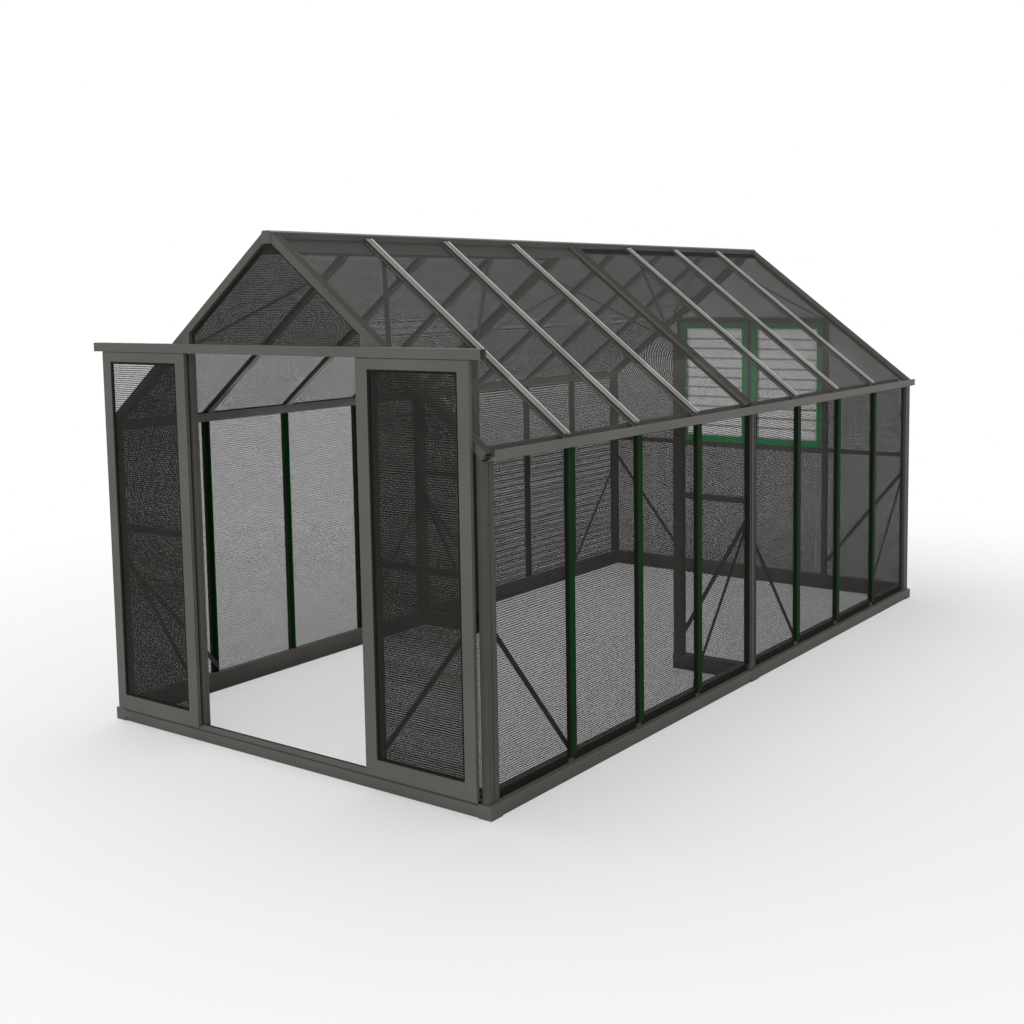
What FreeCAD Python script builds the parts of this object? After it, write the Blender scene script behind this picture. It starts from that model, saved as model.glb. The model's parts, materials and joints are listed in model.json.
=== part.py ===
"""Shade house: a gabled aluminium frame with shade cloth in every bay, two sliding
door leaves on a header track and two louvre windows in the rear gable.

Millimetres. +Z is up, the doors are at -Y, and the house is symmetric about x = 0.
Lengths along Y are measured from the mid frame, and each node is moved to the middle
of the overall length when it is saved.
"""
import FreeCAD, Part
import math
import os

# Bays
BAY = 620.0
BAYS_PER_HALF = 4
BAYS_PER_SIDE = 2
MID_PITCH = 34.0
EDGE_X = 49.0
EDGE_Y = 42.0

# Cloth and fits
CLOTH = 2.0
MESH_ROWS = 12
MESH_GAP = 36.0
MESH_EDGE = 30.0
FIT = 0.3
SEAM = 0.2

# Slotted sections
SEAT = 22.0
SLOT_DEPTH = 12.0
SLOT_GRIP = 10.0
POST_D = 39.0
CORNER_POST_W = 71.0
RAFTER_W = 54.0
SKIN = 2.5
GROOVE = 4.0
GROOVE_DEPTH = 3.0
MID_POST_MORE = 1.0
MID_REBATE = 8.0
MID_EDGE = 6.0
MID_CHANNEL = 10.0

# Glazing bars
CAP_W = 46.0
CAP_CHAMFER = 1.5
CAP_WALL = 2.0
CAP_LIFT = 30.0
WEB_W = 8.0
FLANGE_W = 30.0
FLANGE_T = 4.0
RIB_W = 10.0

# Base
BASE_W = 75.0
BASE_OUT_X = 18.0
BASE_OUT_Y = 12.0
LEDGE = 65.0
UPSTAND = 42.0
FOOT_H = 22.0
FOOT_IN = 6.0
ARRIS = 3.0
BASE_WALL = 2.5
LIP = 2.0
RECESS_DEPTH = 20.0
RECESS_H_FRONT = 15.0
RECESS_H_REAR = 5.0
SPLICE_W = 90.0
SILL_H = 90.0

# Walls and roof
WALL_TOP = 1592.0
ROOF_PITCH = 37.6
ROOF_RISE = 57.0
EAVE_SETBACK = 18.0
RAFTER_TAIL = 40.0
GUTTER_OUT = 46.0
GUTTER_H = 46.0
GUTTER_WALL = 3.0
GUTTER_SEAT = 32.0
GUTTER_INSET = 6.0
GUTTER_SETBACK = 26.0
RIDGE_BAR_X = 47.0
RIDGE_HALF = 30.0
RIDGE_UP = 25.0
RIDGE_CHAMFER = 8.0
RIDGE_WALL = 2.6
RIDGE_FLANGE_FRONT = 105.0
RIDGE_FLANGE_REAR = 45.0
RIDGE_CAP_T = 3.0
RIDGE_CAP_H = 62.0
APEX_HALF = 41.0

# End walls and mid frame
DOOR_POST_W = 62.0
WINDOW_POST_W = 35.0
WINDOW_POST_SET = 3.0
CENTRE_POST_W = 35.0
STUB_POST_W = 58.0
STUB_POST_D = 50.0
STUB_POST_X = 795.0
HEADER_H = 44.0
TRACK_DROP = 6.0
WINDOW_DROP = 33.0
WAIST_H = 34.0
WAIST_WALL = 2.0

# Braces
BRACE_W = 26.0
BRACE_T = 3.0
BRACE_LAP = 10.0
SIDE_BRACE_TOP = 885.0
SIDE_BRACE_FOOT = 135.0
END_BRACE_TOP = 940.0
END_BRACE_FOOT = 190.0
ROOF_BRACE_UP = 150.0
ROOF_BRACE_DOWN = 890.0

# Doors
TRACK_H = 46.0
TRACK_D = 41.0
TRACK_WALL = 2.5
TRACK_SLOT = 14.0
TRACK_BEYOND = 68.0
LEAF_LAP = 68.0
LEAF_OUT = 18.0
LEAF_T = 20.0
LEAF_SEAT = 10.0
LEAF_GAP_TOP = 4.5
LEAF_GAP_SILL = 20.0
LEAF_MEET = 1.0
INNER_STILE_W = 70.0
OUTER_STILE_W = 64.0
TOP_RAIL_H = 48.0
BOTTOM_RAIL_H = 75.0
BOTTOM_RAIL_D = 36.0
GUIDE_T = 3.0
GUIDE_H = 28.0
GUIDE_FIT = 1.5
GUIDE_HEADROOM = 4.0
ROLLER_R = 12.0
ROLLER_W = 10.0
ROLLER_GAP = 1.5
ROLLER_LIFT = 0.1
ROLLER_SIDES = 24
AXLE_R = 3.0
RUN_FIT = 0.05
STEM_W = 24.0
STEM_T = 8.0
STEM_TOP = 8.0
HANGER_W = 70.0
HANGER_D = 26.0
HANGER_T = 3.0
HANGER_IN = 110.0

# Louvre windows
WINDOW_H = 954.0
WINDOW_FIT = 0.4
LOUVRE_D = 42.0
LOUVRE_FACE = 45.0
LOUVRE_WALL = 2.5
BLADES = 11
BLADE_LAP = 8.5
BLADE_T = 4.0
BLADE_TILT = 8.0
BLADE_EDGE_GAP = 2.0
CLIP_W = 14.0
CLIP_T = 8.0
CLIP_END = 4.0
CLIP_SHORT = 4.0
PLAIN_GAP = 1.5
LINK_GAP = 9.0
PIN_R = 3.0
PIN_SIDES = 8
PIN_BEYOND = 2.5
CRANK_REACH = 15.0
CRANK_REST = -40.0
CRANK_W = 9.0
CRANK_PIN_R = 2.5
CRANK_PIN_FIT = 0.1
LINK_T = 3.0
LINK_W = 11.0
LINK_STANDOFF = 2.0
LINK_TAIL = 8.0
TAB_REACH = 48.0
TAB_H = 14.0

# Places that follow from the sizes
HALF_SLOT = CLOTH / 2 + FIT
SLOT_LOW = SEAT - HALF_SLOT
SLOT_HIGH = SEAT + HALF_SLOT
WALL_X = BAYS_PER_SIDE * BAY + EDGE_X
CLOTH_X = WALL_X - SEAT
INNER_X = WALL_X - POST_D
MID_POST_D = POST_D + MID_POST_MORE
WALL_Y = MID_PITCH / 2 + BAYS_PER_HALF * BAY + EDGE_Y
CLOTH_Y = WALL_Y - SEAT
INNER_Y = WALL_Y - POST_D
POST_Y = WALL_Y - CORNER_POST_W
RAFTER_Y = WALL_Y - RAFTER_W
BASE_X = WALL_X + BASE_OUT_X
BASE_Y = WALL_Y + BASE_OUT_Y
BASE_X_IN = BASE_X - BASE_W
CORNER_END = POST_Y - FIT
BASE_TOP = LEDGE + UPSTAND
GROOVE_FLOOR = BASE_TOP - SLOT_GRIP
CLOTH_FOOT = GROOVE_FLOOR + FIT
POST_FOOT = LEDGE + FIT
BAR_FOOT = BASE_TOP + FIT
WALL_HEAD = WALL_TOP - FIT
SLOPE = math.radians(ROOF_PITCH)
EAVE_X = WALL_X - EAVE_SETBACK
EAVE_Z = WALL_TOP + ROOF_RISE
RIDGE_BAR_Z = EAVE_Z + (EAVE_X - RIDGE_BAR_X) * math.tan(SLOPE)
ROOF_LENGTH = (EAVE_X - RIDGE_BAR_X) / math.cos(SLOPE)
RIDGE_TOP = RIDGE_BAR_Z + RIDGE_UP
DOOR_POST_IN = BAY - DOOR_POST_W / 2
DOOR_POST_OUT = BAY + DOOR_POST_W / 2
WINDOW_IN = BAY - WINDOW_POST_SET
WINDOW_OUT = WINDOW_IN + WINDOW_POST_W
STUB_IN = STUB_POST_X - STUB_POST_W / 2
STUB_OUT = STUB_POST_X + STUB_POST_W / 2

X = FreeCAD.Vector(1, 0, 0)
Y = FreeCAD.Vector(0, 1, 0)
Z = FreeCAD.Vector(0, 0, 1)
ORIGIN = FreeCAD.Vector(0, 0, 0)
DOWN_SLOPE = FreeCAD.Vector(math.cos(SLOPE), 0, -math.sin(SLOPE))
OFF_SLOPE = FreeCAD.Vector(math.sin(SLOPE), 0, math.cos(SLOPE))


def roof_z(x, depth):
    """Height of the right slope at x, a given depth under the tops of the roof bars."""
    return RIDGE_BAR_Z - (x - RIDGE_BAR_X) * math.tan(SLOPE) - depth / math.cos(SLOPE)


def roof_point(down, depth):
    """Point (x, z) of the right slope, a way down from the bars' upper ends."""
    x = RIDGE_BAR_X + down * math.cos(SLOPE) - depth * math.sin(SLOPE)
    z = RIDGE_BAR_Z - down * math.sin(SLOPE) - depth * math.cos(SLOPE)
    return x, z


TRACK_TOP = roof_z(DOOR_POST_OUT, POST_D) - TRACK_DROP
TRACK_FOOT = TRACK_TOP - TRACK_H
TRACK_BACK = WALL_Y + FIT
TRACK_FRONT = TRACK_BACK + TRACK_D
TRACK_MID = TRACK_BACK + TRACK_D / 2
LEAF_X = DOOR_POST_IN + LEAF_MEET
LEAF_W = DOOR_POST_IN + LEAF_LAP
LEAF_FRONT = TRACK_MID + LEAF_OUT
STILE_LINES = (LEAF_X + INNER_STILE_W, LEAF_X + LEAF_W - OUTER_STILE_W)
LEAF_TOP = TRACK_FOOT - LEAF_GAP_TOP
LEAF_FOOT = LEDGE + LEAF_GAP_SILL
TRACK_HALF = LEAF_X + LEAF_W + TRACK_BEYOND
ROLLER_Z = TRACK_FOOT + TRACK_WALL + ROLLER_LIFT + ROLLER_R
WINDOW_TOP = roof_z(WINDOW_OUT, POST_D) - WINDOW_DROP
WINDOW_FOOT = WINDOW_TOP - WINDOW_H
WAIST_TOP = WINDOW_FOOT - FIT
Y_SHIFT = (TRACK_FRONT - BASE_Y) / 2


def section(points, holes, origin, u, v, way):
    """Straight bar: the outline (a, b) on the plane of u and v, less its hollows."""
    wires = []
    for outline in [points] + list(holes):
        corners = [origin + u * a + v * b for a, b in outline]
        wires.append(Part.makePolygon(corners + corners[:1]))
    return Part.makeFace(wires, "Part::FaceMakerBullseye").extrude(way)


def along_x(points, start, end, holes=()):
    return section(points, holes, X * start, Y, Z, X * (end - start))


def along_y(points, start, end, holes=()):
    return section(points, holes, Y * start, X, Z, Y * (end - start))


def along_z(points, start, end, holes=()):
    return section(points, holes, Z * start, X, Y, Z * (end - start))


def down_roof(points, start, end, holes=()):
    """Profile (y, height off the bar tops) run down the right slope."""
    origin = FreeCAD.Vector(RIDGE_BAR_X, 0, RIDGE_BAR_Z) + DOWN_SLOPE * start
    return section(points, holes, origin, Y, OFF_SLOPE, DOWN_SLOPE * (end - start))


def block(x0, x1, y0, y1, z0, z1):
    return Part.makeBox(x1 - x0, y1 - y0, z1 - z0, FreeCAD.Vector(x0, y0, z0))


def rod(radius, length, base, way, sides):
    """Round bar with flat facets, from base a length along the unit vector way."""
    rim = Part.makeCircle(radius, base, way).discretize(sides + 1)
    return Part.Face(Part.makePolygon(rim)).extrude(way * length)


def bore(radius, length, base, way):
    """Tool for a hole whose facets all clear a pin of the given radius."""
    return rod(radius / math.cos(math.pi / PIN_SIDES), length, base, way, PIN_SIDES)


def rectangle(a0, a1, b0, b1):
    return [(a0, b0), (a1, b0), (a1, b1), (a0, b1)]


def left_right(solids):
    """Solids of the right side, then their mirror images on the left."""
    return solids + [solid.mirror(ORIGIN, X) for solid in solids]


def rear_front(solids):
    """Solids of the rear half, then their mirror images in the front half."""
    return solids + to_front(solids)


def to_front(solids):
    return [solid.mirror(ORIGIN, Y) for solid in solids]


def save(node, solids):
    shape = solids[0] if len(solids) == 1 else Part.makeCompound(solids)
    shape.translated(Y * Y_SHIFT).exportStep("parts/" + node + ".step")


def folded(path, wall):
    """Outline of a sheet bent along path, with its thickness on the left of the way."""
    normals = []
    for (a0, b0), (a1, b1) in zip(path, path[1:]):
        run = math.hypot(a1 - a0, b1 - b0)
        normals.append(((b0 - b1) / run, (a1 - a0) / run))
    inner = []
    for (a, b), before, after in zip(path, normals[:1] + normals, normals + normals[-1:]):
        mean_a = (before[0] + after[0]) / 2
        mean_b = (before[1] + after[1]) / 2
        reach = wall / (mean_a ** 2 + mean_b ** 2)
        inner.append((a + mean_a * reach, b + mean_b * reach))
    return path + inner[::-1]


def bar_section():
    """Glazing bar: a across it, b outwards from the cloth in its two slots."""
    flange = HALF_SLOT + FLANGE_T
    right = [
        (RIB_W / 2, SEAT - POST_D),
        (RIB_W / 2, -flange),
        (FLANGE_W / 2, -flange),
        (FLANGE_W / 2, -HALF_SLOT),
        (WEB_W / 2, -HALF_SLOT),
        (WEB_W / 2, HALF_SLOT),
        (CAP_W / 2, HALF_SLOT),
        (CAP_W / 2, SEAT - CAP_CHAMFER),
        (CAP_W / 2 - CAP_CHAMFER, SEAT),
    ]
    outline = right + [(-a, b) for a, b in right[::-1]]
    half = CAP_W / 2 - CAP_WALL
    hollow = rectangle(-half, half, HALF_SLOT + CAP_WALL, SEAT - CAP_CHAMFER)
    return outline, hollow


def corner_section(width):
    """Corner post and gable rafter: p and q inwards from its two outer faces."""
    outline = [
        (0, 0),
        (POST_D, 0),
        (POST_D, SLOT_LOW),
        (POST_D - SLOT_DEPTH, SLOT_LOW),
        (POST_D - SLOT_DEPTH, SLOT_HIGH),
        (POST_D, SLOT_HIGH),
        (POST_D, width),
        (SLOT_HIGH, width),
        (SLOT_HIGH, width - SLOT_DEPTH),
        (SLOT_LOW, width - SLOT_DEPTH),
        (SLOT_LOW, width),
        (0, width),
        (0, (width + GROOVE) / 2),
        (GROOVE_DEPTH, (width + GROOVE) / 2),
        (GROOVE_DEPTH, (width - GROOVE) / 2),
        (0, (width - GROOVE) / 2),
    ]
    hollows = [
        rectangle(GROOVE_DEPTH + SKIN, SLOT_LOW - SKIN, SKIN, width - SKIN),
        rectangle(SLOT_HIGH + SKIN, POST_D - SKIN, SLOT_HIGH + SKIN, width - SKIN),
    ]
    return outline, hollows


def mid_section(depth, channel):
    """Half of a mid post or rafter: p inwards, q from the joint between the two halves."""
    outline = [
        (depth, 0),
        (depth, MID_PITCH),
        (SLOT_HIGH, MID_PITCH),
        (SLOT_HIGH, MID_PITCH - SLOT_DEPTH),
        (SLOT_LOW, MID_PITCH - SLOT_DEPTH),
        (SLOT_LOW, MID_PITCH),
        (0, MID_PITCH),
    ]
    if channel:
        outline += [
            (0, MID_PITCH - MID_EDGE),
            (MID_CHANNEL, MID_PITCH - MID_EDGE),
            (MID_CHANNEL, 2 * MID_EDGE),
            (0, 2 * MID_EDGE),
            (0, MID_EDGE),
            (MID_REBATE, MID_EDGE),
            (MID_REBATE, 0),
        ]
    else:
        outline.append((0, 0))
    hollow = rectangle(SLOT_HIGH + SKIN, depth - SKIN, SKIN, MID_PITCH - SKIN)
    return outline, hollow


def slotted(width, depth, seat, slots):
    """Box section: a across it, c inwards, with cloth slots at a = 0 and a = width."""
    low = seat - HALF_SLOT
    high = seat + HALF_SLOT
    outline = [(0, 0), (width, 0)]
    if "far" in slots:
        deep = width - SLOT_DEPTH
        outline += [(width, low), (deep, low), (deep, high), (width, high)]
    outline += [(width, depth), (0, depth)]
    if "near" in slots:
        outline += [(0, high), (SLOT_DEPTH, high), (SLOT_DEPTH, low), (0, low)]
    hollows = [
        rectangle(SKIN, width - SKIN, SKIN, low - SKIN),
        rectangle(SKIN, width - SKIN, high + SKIN, depth - SKIN),
    ]
    return outline, hollows


def upright(width, x, depth, seat, slots, outer, foot, head):
    """Slotted upright of a rear-facing wall, from x, inwards from its outer face."""
    outline, hollows = slotted(width, depth, seat, slots)
    placed = [[(x + a, outer - c) for a, c in ring] for ring in [outline] + hollows]
    return along_z(placed[0], foot, head, placed[1:])


def crossbar(height, z, depth, seat, slots, outer, start, end):
    """Slotted rail of a rear-facing wall, from z up, inwards from its outer face."""
    outline, hollows = slotted(height, depth, seat, slots)
    placed = [[(outer - c, z + a) for a, c in ring] for ring in [outline] + hollows]
    return along_x(placed[0], start, end, placed[1:])


def base_section(overhang, recess, guide):
    """Base rail: p inwards from its outer face, z up. Its upstand grips the cloth's foot."""
    slot = overhang + SEAT
    lip = slot - HALF_SLOT - LIP
    recess_top = GROOVE_FLOOR - LIP
    outline = [(BASE_W, 0), (FOOT_IN, 0), (FOOT_IN, FOOT_H), (0, FOOT_H)]
    if guide:
        outline += [(0, LEDGE + GUIDE_H), (GUIDE_T, LEDGE + GUIDE_H), (GUIDE_T, LEDGE)]
    else:
        outline += [(0, LEDGE - ARRIS), (ARRIS, LEDGE)]
    outline += [
        (lip, LEDGE),
        (lip, recess_top - recess),
        (lip + RECESS_DEPTH, recess_top - recess),
        (lip + RECESS_DEPTH, recess_top),
        (lip, recess_top),
        (lip, BASE_TOP),
        (slot - HALF_SLOT, BASE_TOP),
        (slot - HALF_SLOT, GROOVE_FLOOR),
        (slot + HALF_SLOT, GROOVE_FLOOR),
        (slot + HALF_SLOT, BASE_TOP),
        (BASE_W, BASE_TOP),
    ]
    if recess_top - recess <= LEDGE:
        outline = [point for point in outline if point != (lip, LEDGE)]
    side = FOOT_IN + BASE_WALL
    hollow = rectangle(side, BASE_W - BASE_WALL, BASE_WALL, LEDGE - BASE_WALL)
    return outline, hollow


def below_rafters():
    """Everything under the gable and mid rafters, with a fitting gap."""
    far = 2 * WALL_X
    depth = POST_D + FIT
    outline = [
        (-far, -WALL_TOP),
        (far, -WALL_TOP),
        (far, roof_z(far, depth)),
        (0, roof_z(0, depth)),
        (-far, roof_z(far, depth)),
    ]
    return along_y(outline, -2 * WALL_Y, 2 * WALL_Y)


BELOW_RAFTERS = below_rafters()
BAR_LINES = [MID_PITCH / 2 + k * BAY for k in range(1, BAYS_PER_HALF)]


def bay_edges(corner):
    """Both edges of each bay's cloth in the rear half, inside the slots that hold it."""
    step = WEB_W / 2 + FIT
    starts = [MID_PITCH - SLOT_GRIP] + [line + step for line in BAR_LINES]
    ends = [line - step for line in BAR_LINES] + [corner + SLOT_GRIP]
    return list(zip(starts, ends))


def base_rail(outer, overhang, recess, guide, run, start, end):
    """Length of base rail run along x or y, inwards from its outer face."""
    outline, hollow = base_section(overhang, recess, guide)
    placed = [[(outer - p, z) for p, z in ring] for ring in (outline, hollow)]
    return run(placed[0], start, end, placed[1:])


def make_base():
    start = SPLICE_W / 2 + SEAM
    end = CORNER_END - SEAM
    rear_rail = base_rail(BASE_X, BASE_OUT_X, RECESS_H_REAR, False, along_y, start, end)
    front_rail = base_rail(BASE_X, BASE_OUT_X, RECESS_H_FRONT, False, along_y, start, end)
    rails = left_right([rear_rail]) + left_right(to_front([front_rail]))
    across = BASE_X_IN - SEAM
    rails.append(base_rail(BASE_Y, BASE_OUT_Y, RECESS_H_REAR, False, along_x, -across, across))
    outline = rectangle(-MID_PITCH, MID_PITCH, 0, SILL_H)
    inside = MID_PITCH - BASE_WALL
    hollow = rectangle(-inside, inside, BASE_WALL, SILL_H - BASE_WALL)
    rails += left_right([along_x(outline, STUB_IN, across, [hollow])])
    save("base_rails", rails)

    sill = base_rail(BASE_Y, BASE_OUT_Y, RECESS_H_FRONT, True, along_x, -across, across)
    doorway = DOOR_POST_OUT + FIT
    sill = sill.cut(block(-doorway, doorway, 0, BASE_Y - GUIDE_T, LEDGE, 2 * BASE_TOP))
    save("base_front_sill", to_front([sill]))

    corner = block(BASE_X_IN, BASE_X, CORNER_END, BASE_Y, 0, LEDGE)
    wall = BASE_WALL
    corner = corner.cut(
        block(BASE_X_IN + wall, BASE_X - wall, CORNER_END + wall, BASE_Y - wall, -wall, LEDGE - wall)
    )
    corner = corner.makeChamfer(ARRIS / 2, outer_top_edges(corner))
    half = SPLICE_W / 2
    splice = block(BASE_X_IN, BASE_X, -half, half, 0, LEDGE)
    splice = splice.cut(
        block(BASE_X_IN + wall, BASE_X - wall, wall - half, half - wall, -wall, LEDGE - wall)
    )
    save("base_joiners", rear_front(left_right([corner])) + left_right([splice]))


def outer_top_edges(shape):
    """Edges round the top of a block."""
    top = shape.BoundBox.ZMax
    return [edge for edge in shape.Edges if abs(edge.BoundBox.ZMin - top) < FIT]


def make_posts():
    outline, hollows = corner_section(CORNER_POST_W)
    rings = [[(WALL_X - p, WALL_Y - q) for p, q in ring] for ring in [outline] + hollows]
    post = along_z(rings[0], POST_FOOT, EAVE_Z, rings[1:]).common(BELOW_RAFTERS)
    save("corner_posts", rear_front(left_right([post])))

    outline, hollow = mid_section(MID_POST_D, False)
    rings = [[(WALL_X - p, q + SEAM / 2) for p, q in ring] for ring in (outline, hollow)]
    mid_post = along_z(rings[0], POST_FOOT, WALL_HEAD, rings[1:])
    half = STUB_POST_D / 2
    outline = rectangle(STUB_IN, STUB_OUT, -half, half)
    hollow = rectangle(STUB_IN + SKIN, STUB_OUT - SKIN, SKIN - half, half - SKIN)
    stub = along_z(outline, SILL_H + FIT, EAVE_Z + WALL_TOP, [hollow]).common(BELOW_RAFTERS)
    save("mid_frame_posts", rear_front(left_right([mid_post])) + left_right([stub]))

    door_post = upright(
        DOOR_POST_W, DOOR_POST_IN, POST_D, SEAT, ("near", "far"), WALL_Y, POST_FOOT, RIDGE_TOP
    )
    save("door_posts", to_front(left_right([door_post.common(BELOW_RAFTERS)])))

    window_post = upright(
        WINDOW_POST_W, WINDOW_IN, POST_D, SEAT, ("near", "far"), WALL_Y, BAR_FOOT, RIDGE_TOP
    )
    centre_post = upright(
        CENTRE_POST_W, -CENTRE_POST_W / 2, POST_D, SEAT, ("near", "far"), WALL_Y, BAR_FOOT, WINDOW_TOP
    )
    save("window_posts", left_right([window_post.common(BELOW_RAFTERS)]) + [centre_post])


def make_wall_bars():
    outline, hollow = bar_section()
    lip = CLOTH_X + HALF_SLOT + LIP + FIT
    bars = []
    for line in BAR_LINES:
        rings = [[(CLOTH_X + b, line + a) for a, b in ring] for ring in (outline, hollow)]
        bar = along_z(rings[0], POST_FOOT + CAP_LIFT, WALL_HEAD, rings[1:])
        heel = block(0, lip, line - CAP_W, line + CAP_W, 0, BAR_FOOT)
        bars.append(bar.cut(heel))
    save("wall_bars", rear_front(left_right(bars)))


def make_roof_frame():
    outline, hollow = bar_section()
    bars = {}
    for half, flange in (("front", RIDGE_FLANGE_FRONT), ("rear", RIDGE_FLANGE_REAR)):
        bars[half] = []
        for line in BAR_LINES:
            rings = [[(line + a, b - SEAT) for a, b in ring] for ring in (outline, hollow)]
            bar = down_roof(rings[0], 0, ROOF_LENGTH, rings[1:])
            wide = rectangle(line - CAP_W, line + CAP_W, -2 * POST_D, -SLOT_LOW)
            bars[half].append(bar.cut(down_roof(wide, -BAY, flange + FIT)))
    save("roof_bars", left_right(to_front(bars["front"])) + left_right(bars["rear"]))

    beyond_crown = block(RIDGE_HALF + FIT, 2 * WALL_X, -2 * WALL_Y, 2 * WALL_Y, 0, 2 * RIDGE_TOP)
    outline, hollows = corner_section(RAFTER_W)
    rings = [[(WALL_Y - q, -p) for p, q in ring] for ring in [outline] + hollows]
    rafter = down_roof(rings[0], -BAY, ROOF_LENGTH + RAFTER_TAIL, rings[1:])
    save("gable_rafters", rear_front(left_right([rafter.common(beyond_crown)])))

    outline, hollow = mid_section(POST_D, True)
    rings = [[(q + SEAM / 2, -p) for p, q in ring] for ring in (outline, hollow)]
    rafter = down_roof(rings[0], -BAY, ROOF_LENGTH, rings[1:])
    save("mid_rafters", rear_front(left_right([rafter.common(beyond_crown)])))


def ridge_length(flange):
    """One half of the ridge: a hollow crown with a flange down each slope."""
    depth = SLOT_LOW + FIT
    right = [
        roof_point(flange, depth),
        (RIDGE_HALF, roof_z(RIDGE_HALF, depth)),
        (RIDGE_HALF, RIDGE_TOP - RIDGE_CHAMFER),
        (RIDGE_HALF - RIDGE_CHAMFER, RIDGE_TOP),
    ]
    path = right + [(-x, z) for x, z in right[::-1]]
    ridge = along_y(folded(path, RIDGE_WALL), SEAM / 2, WALL_Y)
    for start, end in ((0, MID_PITCH + SEAM), (RAFTER_Y, WALL_Y)):
        notch = block(RIDGE_HALF, BAY, start - FIT, end + FIT, 0, RIDGE_TOP)
        for side in left_right([notch]):
            ridge = ridge.cut(side)
    return ridge


def make_ridge():
    front = to_front([ridge_length(RIDGE_FLANGE_FRONT)])
    rear = [ridge_length(RIDGE_FLANGE_REAR)]
    plate = [
        (RIDGE_HALF, RIDGE_TOP - RIDGE_CAP_H),
        (RIDGE_HALF, RIDGE_TOP - RIDGE_CHAMFER),
        (RIDGE_HALF - RIDGE_CHAMFER, RIDGE_TOP),
    ]
    outline = plate + [(-x, z) for x, z in plate[::-1]]
    cap = along_y(outline, WALL_Y + SEAM, WALL_Y + SEAM + RIDGE_CAP_T)
    save("ridge_beams", front + rear + rear_front([cap]))


def make_gutters():
    back = roof_point(ROOF_LENGTH, POST_D)[0] - GUTTER_INSET
    front = WALL_X + GUTTER_OUT - GUTTER_WALL
    floor = WALL_TOP + GUTTER_WALL
    depth = POST_D + FIT
    upper = back - GUTTER_SEAT * math.cos(SLOPE)
    path = [
        (front, WALL_TOP + GUTTER_H),
        (front, floor),
        (back, floor),
        (back, roof_z(back, depth)),
        (upper, roof_z(upper, depth)),
    ]
    end = WALL_Y - GUTTER_SETBACK
    gutter = along_y(folded(path, GUTTER_WALL), -end, end)
    relief = block(0, WALL_X + FIT, POST_Y - FIT, 2 * WALL_Y, 0, RIDGE_TOP)
    for gable in rear_front([relief]):
        gutter = gutter.cut(gable)
    save("gutters", left_right([gutter]))


def waist_rail(start, end, y0, y1):
    outline = rectangle(y0, y1, WAIST_TOP - WAIST_H, WAIST_TOP)
    wall = WAIST_WALL
    hollow = rectangle(y0 + wall, y1 - wall, WAIST_TOP - WAIST_H + wall, WAIST_TOP - wall)
    return along_x(outline, start, end, [hollow])


def make_end_wall_rails():
    behind_cloth = CLOTH_Y - CLOTH / 2 - FIT
    beside_corner = INNER_X - FIT
    front = left_right([waist_rail(DOOR_POST_OUT + FIT, beside_corner, INNER_Y, behind_cloth)])
    span = DOOR_POST_IN - FIT
    front.append(
        crossbar(HEADER_H, TRACK_TOP - HEADER_H, POST_D, SEAT, ("far",), WALL_Y, -span, span)
    )
    rear = left_right([waist_rail(WINDOW_OUT + FIT, beside_corner, INNER_Y, behind_cloth)])
    span = WINDOW_IN - FIT
    rear.append(
        crossbar(HEADER_H, WINDOW_TOP + FIT, POST_D, SEAT, ("far",), WALL_Y, -span, span)
    )
    start = CENTRE_POST_W / 2 + FIT
    sill = crossbar(HEADER_H, WAIST_TOP - HEADER_H, POST_D, SEAT, ("near",), WALL_Y, start, span)
    rear += left_right([sill])
    mid = left_right(
        [waist_rail(STUB_OUT + FIT, WALL_X - MID_POST_D - FIT, -MID_PITCH / 2, MID_PITCH / 2)]
    )
    save("end_wall_rails", to_front(front) + rear + mid)


def brace_outline(a0, b0, a1, b1):
    """Flat bar from (a0, b0) to (a1, b1), cut upright at both ends."""
    half = BRACE_W / 2 * math.hypot(a1 - a0, b1 - b0) / abs(a1 - a0)
    return [(a0, b0 - half), (a1, b1 - half), (a1, b1 + half), (a0, b0 + half)]


def make_braces():
    inside = INNER_X - FIT
    on_rib = RIB_W / 2
    side = [
        brace_outline(MID_PITCH + FIT, SIDE_BRACE_TOP, BAR_LINES[0] + on_rib, SIDE_BRACE_FOOT),
        brace_outline(RAFTER_Y + BRACE_LAP, SIDE_BRACE_TOP, BAR_LINES[-1] - on_rib, SIDE_BRACE_FOOT),
    ]
    walls = [along_x(outline, inside - BRACE_T, inside) for outline in side]
    walls = rear_front(left_right(walls))
    inside = INNER_Y - FIT
    beside = INNER_X - FIT
    for post, turn in ((WINDOW_OUT, list), (DOOR_POST_OUT, to_front)):
        outline = brace_outline(post - BRACE_LAP, END_BRACE_FOOT, beside, END_BRACE_TOP)
        walls += turn(left_right([along_y(outline, inside - BRACE_T, inside)]))
    inside = STUB_POST_D / 2 + FIT
    beside = WALL_X - MID_POST_D - FIT
    outline = brace_outline(STUB_OUT - BRACE_LAP, END_BRACE_FOOT, beside, END_BRACE_TOP)
    walls += to_front(left_right([along_y(outline, inside, inside + BRACE_T)]))
    save("wall_braces", walls)

    roof = []
    origin = FreeCAD.Vector(RIDGE_BAR_X, 0, RIDGE_BAR_Z) - OFF_SLOPE * (POST_D + FIT + BRACE_T)
    ends = ((MID_PITCH - BRACE_LAP, BAR_LINES[0] + on_rib), (RAFTER_Y + BRACE_LAP, BAR_LINES[-1] - on_rib))
    for rafter, bar in ends:
        outline = brace_outline(rafter, ROOF_BRACE_DOWN, bar, ROOF_BRACE_UP)
        roof.append(section(outline, [], origin, Y, DOWN_SLOPE, OFF_SLOPE * BRACE_T))
    save("roof_braces", rear_front(left_right(roof)))


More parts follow.
